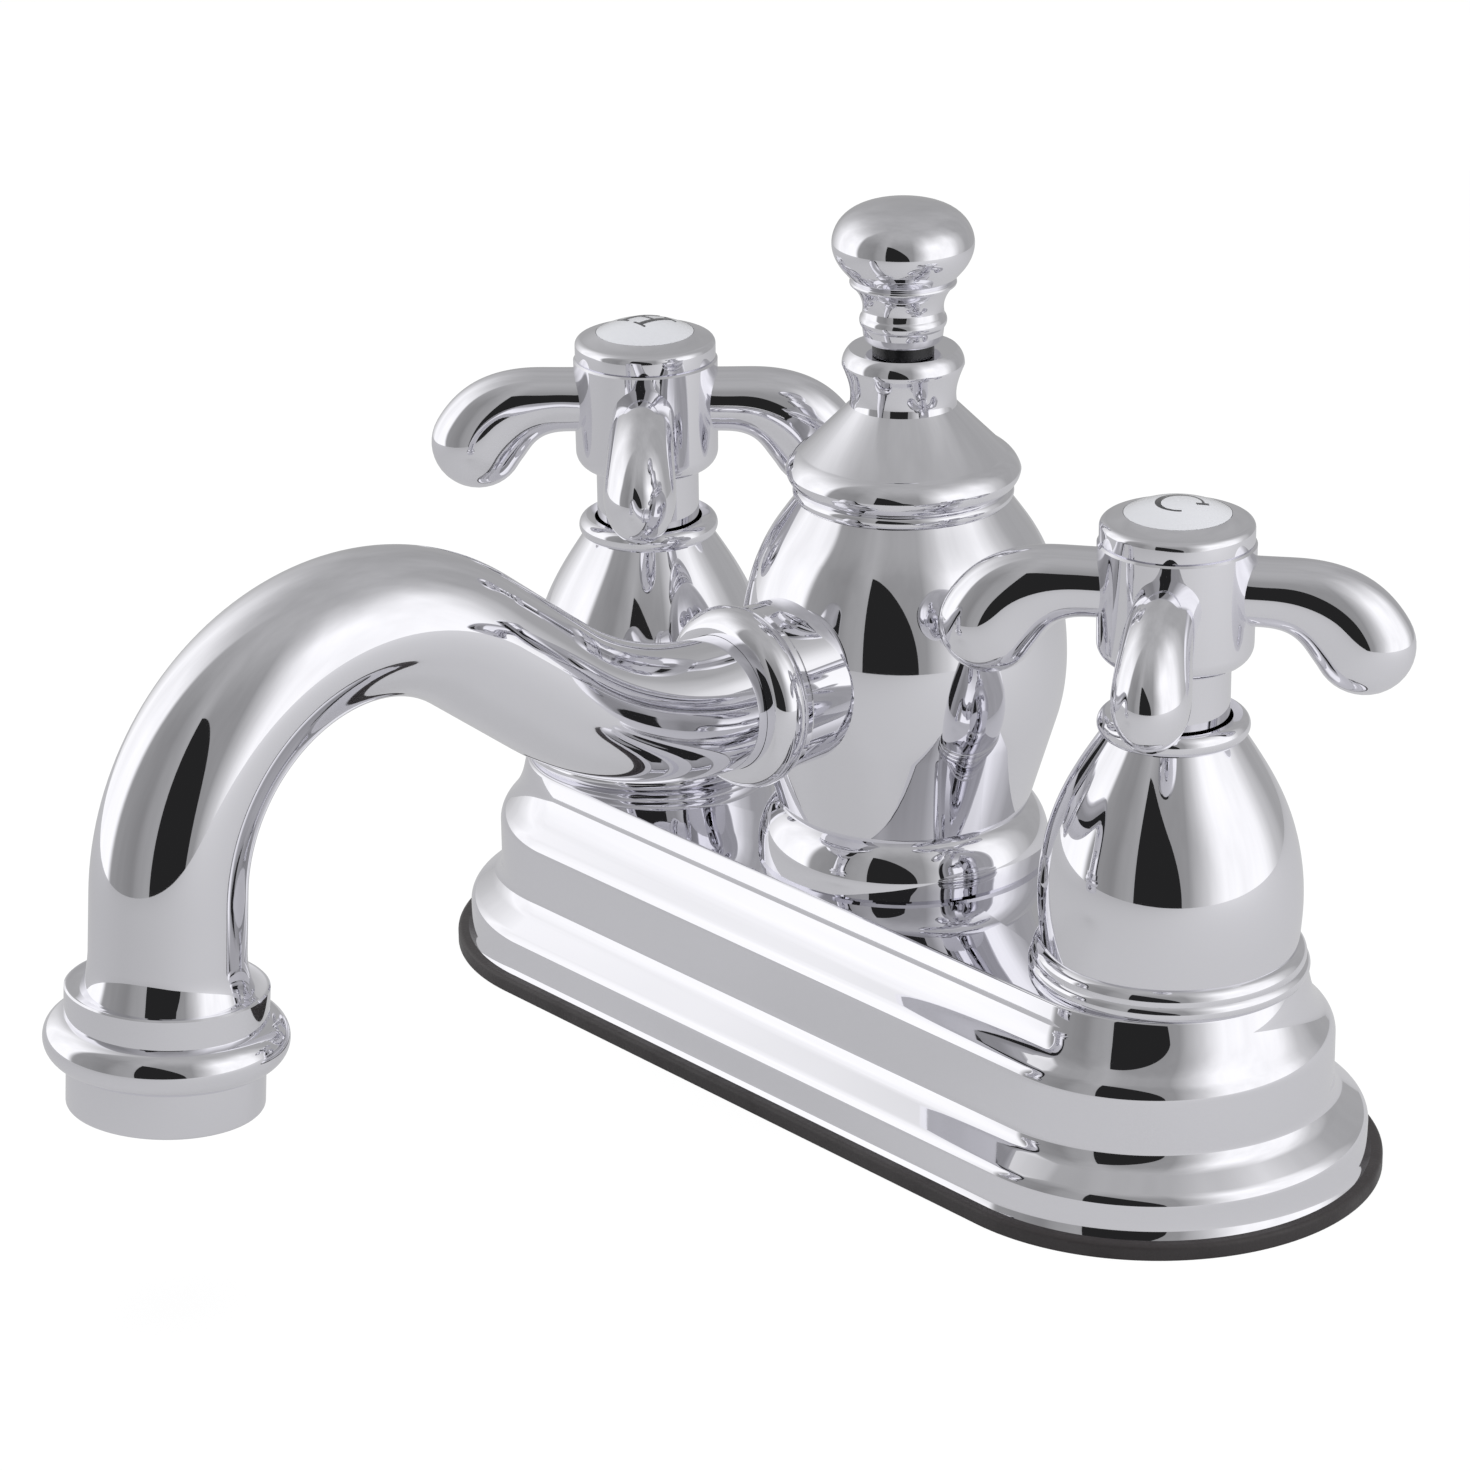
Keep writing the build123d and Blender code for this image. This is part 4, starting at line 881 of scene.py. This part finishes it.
class FAUCET_OT_spout(Operator):
    """Model the spout's tube with its coupling and ring nut"""

    bl_idname = "faucet.spout"
    bl_label = "Model Spout"

    def execute(self, context):
        sizes = context.scene.faucet_sizes
        steps = sizes.turning_steps
        stations = spout_stations(sizes.tube_root_radius / MM, sizes.tube_end_radius / MM)
        tube = swept("spout_chrome", stations, TUBE_SEGMENTS)
        put(tube, Matrix.Rotation(-math.pi / 2, 3, "Z"))
        dress(tube, "polished_chrome", "faucet", "spout")
        to_joint = Matrix.Rotation(math.pi / 2, 3, "X")
        coupling_outline = [
            (6.4, 12.5), (8.0, 12.5), (8.0, 15.5), (10.65, 15.5), (10.85, 15.7), (10.85, 25.3), (10.65, 25.5),
            (10.0, 25.5), (10.0, 29.1), (6.4, 29.1),
        ]
        coupling = turned("spout_coupling_chrome", coupling_outline, steps, closed=True)
        put(coupling, to_joint, (0, BODY_Y, JOINT_HEIGHT))
        dress(coupling, "polished_chrome", "faucet", "spout_coupling")
        nut_outline = joined(
            [(10.9, 25.5), (11.2, 25.8), (11.2, 26.5)],
            through((11.2, 26.5), (12.0, 28.4), (10.3, 31.4), 20),
            [(8.87, 31.4), (8.87, 30.5), (10.02, 30.5), (10.02, 25.5)],
        )
        nut = turned("spout_nut_chrome", nut_outline, steps, closed=True)
        put(nut, to_joint, (0, BODY_Y, JOINT_HEIGHT))
        dress(nut, "polished_chrome", "faucet", "spout_nut")
        return {"FINISHED"}


class FAUCET_OT_outlet(Operator):
    """Model the nozzle and the aerator's mouth ring"""

    bl_idname = "faucet.outlet"
    bl_label = "Model Outlet"

    def execute(self, context):
        steps = context.scene.faucet_sizes.turning_steps
        nozzle_outline = joined(
            [(9.47, 3.35), (10.7, 3.35), (11.7, 3.8), (11.85, 3.85), (12.0, 3.85), (12.2, 3.65), (12.2, 0.078)],
            through((12.2, 0.078), (14.7, -2.75), (11.85, -5.6), 24),
            [(10.62, -5.6), (10.62, -0.8), (8.25, -0.8), (8.25, 0.0), (9.47, 0.0)],
        )
        nozzle = on_outlet(turned("nozzle_chrome", nozzle_outline, steps, closed=True))
        dress(nozzle, "polished_chrome", "faucet", "nozzle")
        mouth_outline = joined(
            [(8.6, -11.4)], arc((11.4, -10.9), 0.5, -90, 0, 5),
            [(11.9, -5.6), (10.6, -5.6), (10.6, -2.0), (9.45, -2.0), (9.45, -10.4), (8.6, -10.4)],
        )
        mouth = on_outlet(turned("aerator_ring_chrome", mouth_outline, steps, closed=True))
        dress(mouth, "polished_chrome", "faucet", "aerator_housing")
        return {"FINISHED"}


# Studio

CAMERA = {
    "place": (469.3, -428.4, 297.2), "azimuth": 49.411, "elevation": 21.665, "roll": -0.739,
    "lens": 126.615, "shift": (-0.00753, -0.00377),
}
SIDE_TONES = (
    (-180, 0.40), (-166, 0.43), (-150, 0.58), (-136, 0.82), (-122, 1.10), (-82, 1.10), (-77, 0.34), (-50, 0.26),
    (-32, 0.41), (-20, 0.30), (14, 0.31), (30, 0.74), (42, 1.12), (82, 1.12), (98, 0.64), (114, 0.42), (180, 0.40),
)
DARK_CARD = {"left": -29.5, "width": 38.0, "top": 44.0, "tone": 0.02}
# The floor, its painted glow and the lamp are in metres
CROWN_START = 0.60
FOLDS = {"scale": 9.0, "detail": 3.0, "stretch": (1.0, 1.0, 0.15), "depth": 0.36, "darkest": 0.82}
FLOOR = {"size": 8.0, "color": (0.72, 0.72, 0.74, 1.0), "roughness": 0.9, "white": 1.09}
FLOOR_SHARES = {"Is Camera Ray": 0.86, "Is Glossy Ray": 0.75}
# Painted light: a pool of glow on the floor, seen only by glossy rays, brightest near this place and dimmer out to the
# reach
FLOOR_PAINTED_GLOW = {"place": (0.414, 0.069, 0.0), "reach": (0.05, 0.60), "near": 1.27, "far": 0.81}
WORLD_LEVELS = {"To Min": 0.5, "To Max": 1.0}
LAMP = {"place": (0.1, -0.1, 1.2), "size": 0.9}


class FaucetStudio(PropertyGroup):
    """The studio round the faucet."""

    tent_radius: FloatProperty(
        name="Tent Radius", description="Radius of the round light tent",
        default=0.45, min=0.3, max=3.0, unit="LENGTH",
    )
    crown_tone: FloatProperty(
        name="Crown Tone", description="Brightness of the tent over the faucet", default=0.45, min=0.0, max=2.0,
    )
    # Strength of the painted glow that the floor shows in the chrome
    floor_painted_glow: FloatProperty(
        name="Floor Tone", description="Brightness of the floor as the chrome mirrors it",
        default=0.585, min=0.0, max=1.0,
    )
    lamp_power: FloatProperty(
        name="Lamp Power", description="Power of the soft lamp overhead",
        default=7.5, min=0.0, max=200.0, unit="POWER",
    )


def tent_material(crown_tone):
    """The tent's tones by the angle round the object, counted from the camera's side, and by height."""
    material = bpy.data.materials.new("tent")
    material.use_nodes = True
    nodes, links = material.node_tree.nodes, material.node_tree.links
    nodes.remove(nodes["Principled BSDF"])

    def math_node(operation, first, second=None):
        node = add_node(nodes, "Math", operation=operation)
        for socket, value in zip(node.inputs, (first, second)):
            if isinstance(value, (int, float)):
                socket.default_value = value
            elif value:
                links.new(value, socket)
        return node.outputs["Value"]

    emission = add_node(nodes, "Emission")
    place = add_node(nodes, "TexCoord")
    turn = add_node(nodes, "Mapping", {"Rotation": (0, 0, math.radians(90 - CAMERA["azimuth"]))})
    parts = add_node(nodes, "SeparateXYZ")
    length = add_node(nodes, "VectorMath", operation="LENGTH")
    ramp = add_node(nodes, "ValToRGB")
    crown = add_node(nodes, "MapRange", {"From Min": CROWN_START}, interpolation_type="SMOOTHSTEP")
    tones = add_node(nodes, "Mix", {"B": crown_tone})
    stretch = add_node(nodes, "Mapping", {"Scale": FOLDS["stretch"]})
    folds = add_node(nodes, "TexNoise", {"Scale": FOLDS["scale"], "Detail": FOLDS["detail"]})
    seen = add_node(nodes, "Mix", {"B": DARK_CARD["tone"]})
    join_up(
        links,
        (emission, "Emission", nodes["Material Output"], "Surface"), (seen, "Result", emission, "Strength"),
        (place, "Object", turn, "Vector"), (turn, "Vector", parts, "Vector"), (place, "Object", length, 0),
        (place, "Object", stretch, "Vector"), (stretch, "Vector", folds, "Vector"),
        (crown, "Result", tones, "Factor"), (ramp, "Color", tones, "A"),
    )
    stops = ramp.color_ramp.elements
    while len(stops) < len(SIDE_TONES):
        stops.new(0.5)
    for stop, (degrees, tone) in zip(stops, SIDE_TONES):
        stop.position = (degrees + 180) / 360
        stop.color = (tone, tone, tone, 1.0)
    angle = math_node("ARCTAN2", parts.outputs["Y"], parts.outputs["X"])
    rise = math_node("DIVIDE", parts.outputs["Z"], length.outputs["Value"])
    links.new(math_node("ADD", math_node("DIVIDE", angle, 2 * math.pi), 0.5), ramp.inputs["Fac"])
    links.new(rise, crown.inputs["Value"])
    shade = math_node("ADD", math_node("MULTIPLY", folds.outputs["Fac"], FOLDS["depth"]), FOLDS["darkest"])
    links.new(math_node("MULTIPLY", tones.outputs["Result"], shade), seen.inputs["A"])
    from_left = math_node("SUBTRACT", angle, math.radians(DARK_CARD["left"]))
    across = math_node("DIVIDE", from_left, math.radians(DARK_CARD["width"]))
    upwards = math_node("DIVIDE", rise, math.sin(math.radians(DARK_CARD["top"])))
    reach = math_node("ADD", math_node("POWER", across, 2.0), math_node("POWER", upwards, 2.0))
    card = math_node("MULTIPLY", math_node("LESS_THAN", reach, 1.0), math_node("GREATER_THAN", across, 0.0))
    links.new(card, seen.inputs["Factor"])
    return material


def floor_material(tone):
    """White to the camera with a soft shadow, a painted glow to the chrome that is brightest in a pool near one place,
    and a plain surface to every other ray.
    """
    material = bpy.data.materials.new("studio_floor")
    material.use_nodes = True
    nodes, links = material.node_tree.nodes, material.node_tree.links
    surface = nodes["Principled BSDF"]
    surface.inputs["Base Color"].default_value = FLOOR["color"]
    surface.inputs["Roughness"].default_value = FLOOR["roughness"]
    rays = add_node(nodes, "LightPath")
    place = add_node(nodes, "TexCoord")
    # Painted light: to glossy rays the floor glows, brightest near one place and dimmer further out, in place of lamp
    # light falling on it
    away = add_node(nodes, "VectorMath", {1: FLOOR_PAINTED_GLOW["place"]}, operation="DISTANCE")
    near, far = FLOOR_PAINTED_GLOW["reach"]
    painted_light_pool = add_node(nodes, "MapRange", {
        "From Min": near, "From Max": far, "To Min": tone * FLOOR_PAINTED_GLOW["near"], "To Max": tone * FLOOR_PAINTED_GLOW["far"],
    })
    white = add_node(nodes, "Emission", {"Strength": FLOOR["white"]})
    painted_floor_glow = add_node(nodes, "Emission")
    join_up(links, (place, "Object", away, 0), (away, "Value", painted_light_pool, "Value"), (painted_light_pool, "Result", painted_floor_glow, "Strength"))
    last, output = surface, "BSDF"
    for (ray, share), plain in zip(FLOOR_SHARES.items(), (white, painted_floor_glow)):
        amount = add_node(nodes, "Math", {1: share}, operation="MULTIPLY")
        mix = add_node(nodes, "MixShader")
        join_up(
            links,
            (rays, ray, amount, 0), (amount, "Value", mix, "Fac"), (last, output, mix, 1), (plain, "Emission", mix, 2),
        )
        last, output = mix, "Shader"
    join_up(links, (last, output, nodes["Material Output"], "Surface"))
    return material


def studio_world():
    """White to the camera and in metal and glass, and a plain grey light otherwise."""
    world = bpy.data.worlds.new("studio_world")
    world.use_nodes = True
    nodes = world.node_tree.nodes
    background = nodes["Background"]
    background.inputs["Color"].default_value = (1.0, 1.0, 1.0, 1.0)
    rays = add_node(nodes, "LightPath")
    either, seen = [add_node(nodes, "Math", operation="MAXIMUM") for _ in range(2)]
    level = add_node(nodes, "MapRange", WORLD_LEVELS)
    join_up(
        world.node_tree.links,
        (rays, "Is Glossy Ray", either, 0), (rays, "Is Transmission Ray", either, 1),
        (rays, "Is Camera Ray", seen, 0), (either, "Value", seen, 1),
        (seen, "Value", level, "Value"), (level, "Result", background, "Strength"),
    )
    bpy.context.scene.world = world


class FAUCET_OT_studio(Operator):
    """Set up the floor, the light tent, the lamp and the camera"""

    bl_idname = "faucet.studio"
    bl_label = "Set Up Studio"

    def execute(self, context):
        studio = context.scene.faucet_studio
        clear_selection()
        bpy.ops.mesh.primitive_plane_add(size=FLOOR["size"])
        floor = context.object
        floor.name = "studio_floor"
        floor.data.materials.append(floor_material(studio.floor_painted_glow))
        bpy.ops.mesh.primitive_uv_sphere_add(segments=96, ring_count=48, radius=studio.tent_radius)
        tent = context.object
        tent.name = "light_tent"
        bpy.ops.object.mode_set(mode="EDIT")
        bpy.ops.mesh.select_all(action="SELECT")
        bpy.ops.mesh.bisect(plane_co=(0, 0, 0), plane_no=(0, 0, 1), clear_inner=True)
        bpy.ops.object.mode_set(mode="OBJECT")
        tent.data.materials.append(tent_material(studio.crown_tone))
        tent.visible_camera = False
        tent.visible_shadow = False
        bpy.ops.object.light_add(type="AREA", location=LAMP["place"])
        lamp = context.object
        lamp.name = "soft_lamp"
        lamp.data.size = LAMP["size"]
        lamp.data.energy = studio.lamp_power
        lamp.visible_glossy = False
        lamp.visible_camera = False
        studio_world()
        azimuth, elevation, roll = [math.radians(CAMERA[key]) for key in ("azimuth", "elevation", "roll")]
        back = Vector((
            math.sin(azimuth) * math.cos(elevation), -math.cos(azimuth) * math.cos(elevation), math.sin(elevation)
        ))
        level = Vector((math.cos(azimuth), math.sin(azimuth), 0))
        upright = back.cross(level)
        right = math.cos(roll) * level + math.sin(roll) * upright
        up = math.cos(roll) * upright - math.sin(roll) * level
        bpy.ops.object.camera_add()
        camera = context.object
        camera.name = "photo_camera"
        turn = Matrix((right, up, back)).transposed().to_4x4()
        camera.matrix_world = Matrix.Translation(Vector(CAMERA["place"]) * MM) @ turn
        camera.data.lens = CAMERA["lens"]
        camera.data.sensor_width = 36.0
        camera.data.shift_x, camera.data.shift_y = CAMERA["shift"]
        camera.data.clip_start = 0.01
        camera.data.clip_end = 20.0
        context.scene.camera = camera
        context.scene.view_settings.view_transform = "Standard"
        return {"FINISHED"}


STEPS = (
    FAUCET_OT_finishes, FAUCET_OT_deck, FAUCET_OT_bells, FAUCET_OT_handles, FAUCET_OT_body, FAUCET_OT_spout,
    FAUCET_OT_outlet, FAUCET_OT_studio,
)


class FAUCET_PT_panel(Panel):
    """Sizes, colours and steps in the sidebar"""

    bl_idname = "FAUCET_PT_panel"
    bl_label = "Bathroom Faucet"
    bl_space_type = "VIEW_3D"
    bl_region_type = "UI"
    bl_category = "Faucet"

    def draw(self, context):
        for group in (context.scene.faucet_sizes, context.scene.faucet_colors, context.scene.faucet_studio):
            box = self.layout.box()
            for key in group.__annotations__:
                box.prop(group, key)
        for step in STEPS:
            self.layout.operator(step.bl_idname)


GROUPS = {"faucet_sizes": FaucetSizes, "faucet_colors": FaucetColors, "faucet_studio": FaucetStudio}


def register():
    """Registers the classes and hangs the property groups on the scene."""
    for item in (*GROUPS.values(), *STEPS, FAUCET_PT_panel):
        bpy.utils.register_class(item)
    for name, group in GROUPS.items():
        setattr(bpy.types.Scene, name, PointerProperty(type=group))


def unregister():
    """Takes the property groups and classes away again."""
    for name in GROUPS:
        delattr(bpy.types.Scene, name)
    for item in (FAUCET_PT_panel, *reversed(STEPS), *GROUPS.values()):
        bpy.utils.unregister_class(item)


def main():
    """Builds everything in order."""
    register()
    for step in STEPS:
        area, name = step.bl_idname.split(".")
        getattr(getattr(bpy.ops, area), name)()


if __name__ == "__main__":
    main()
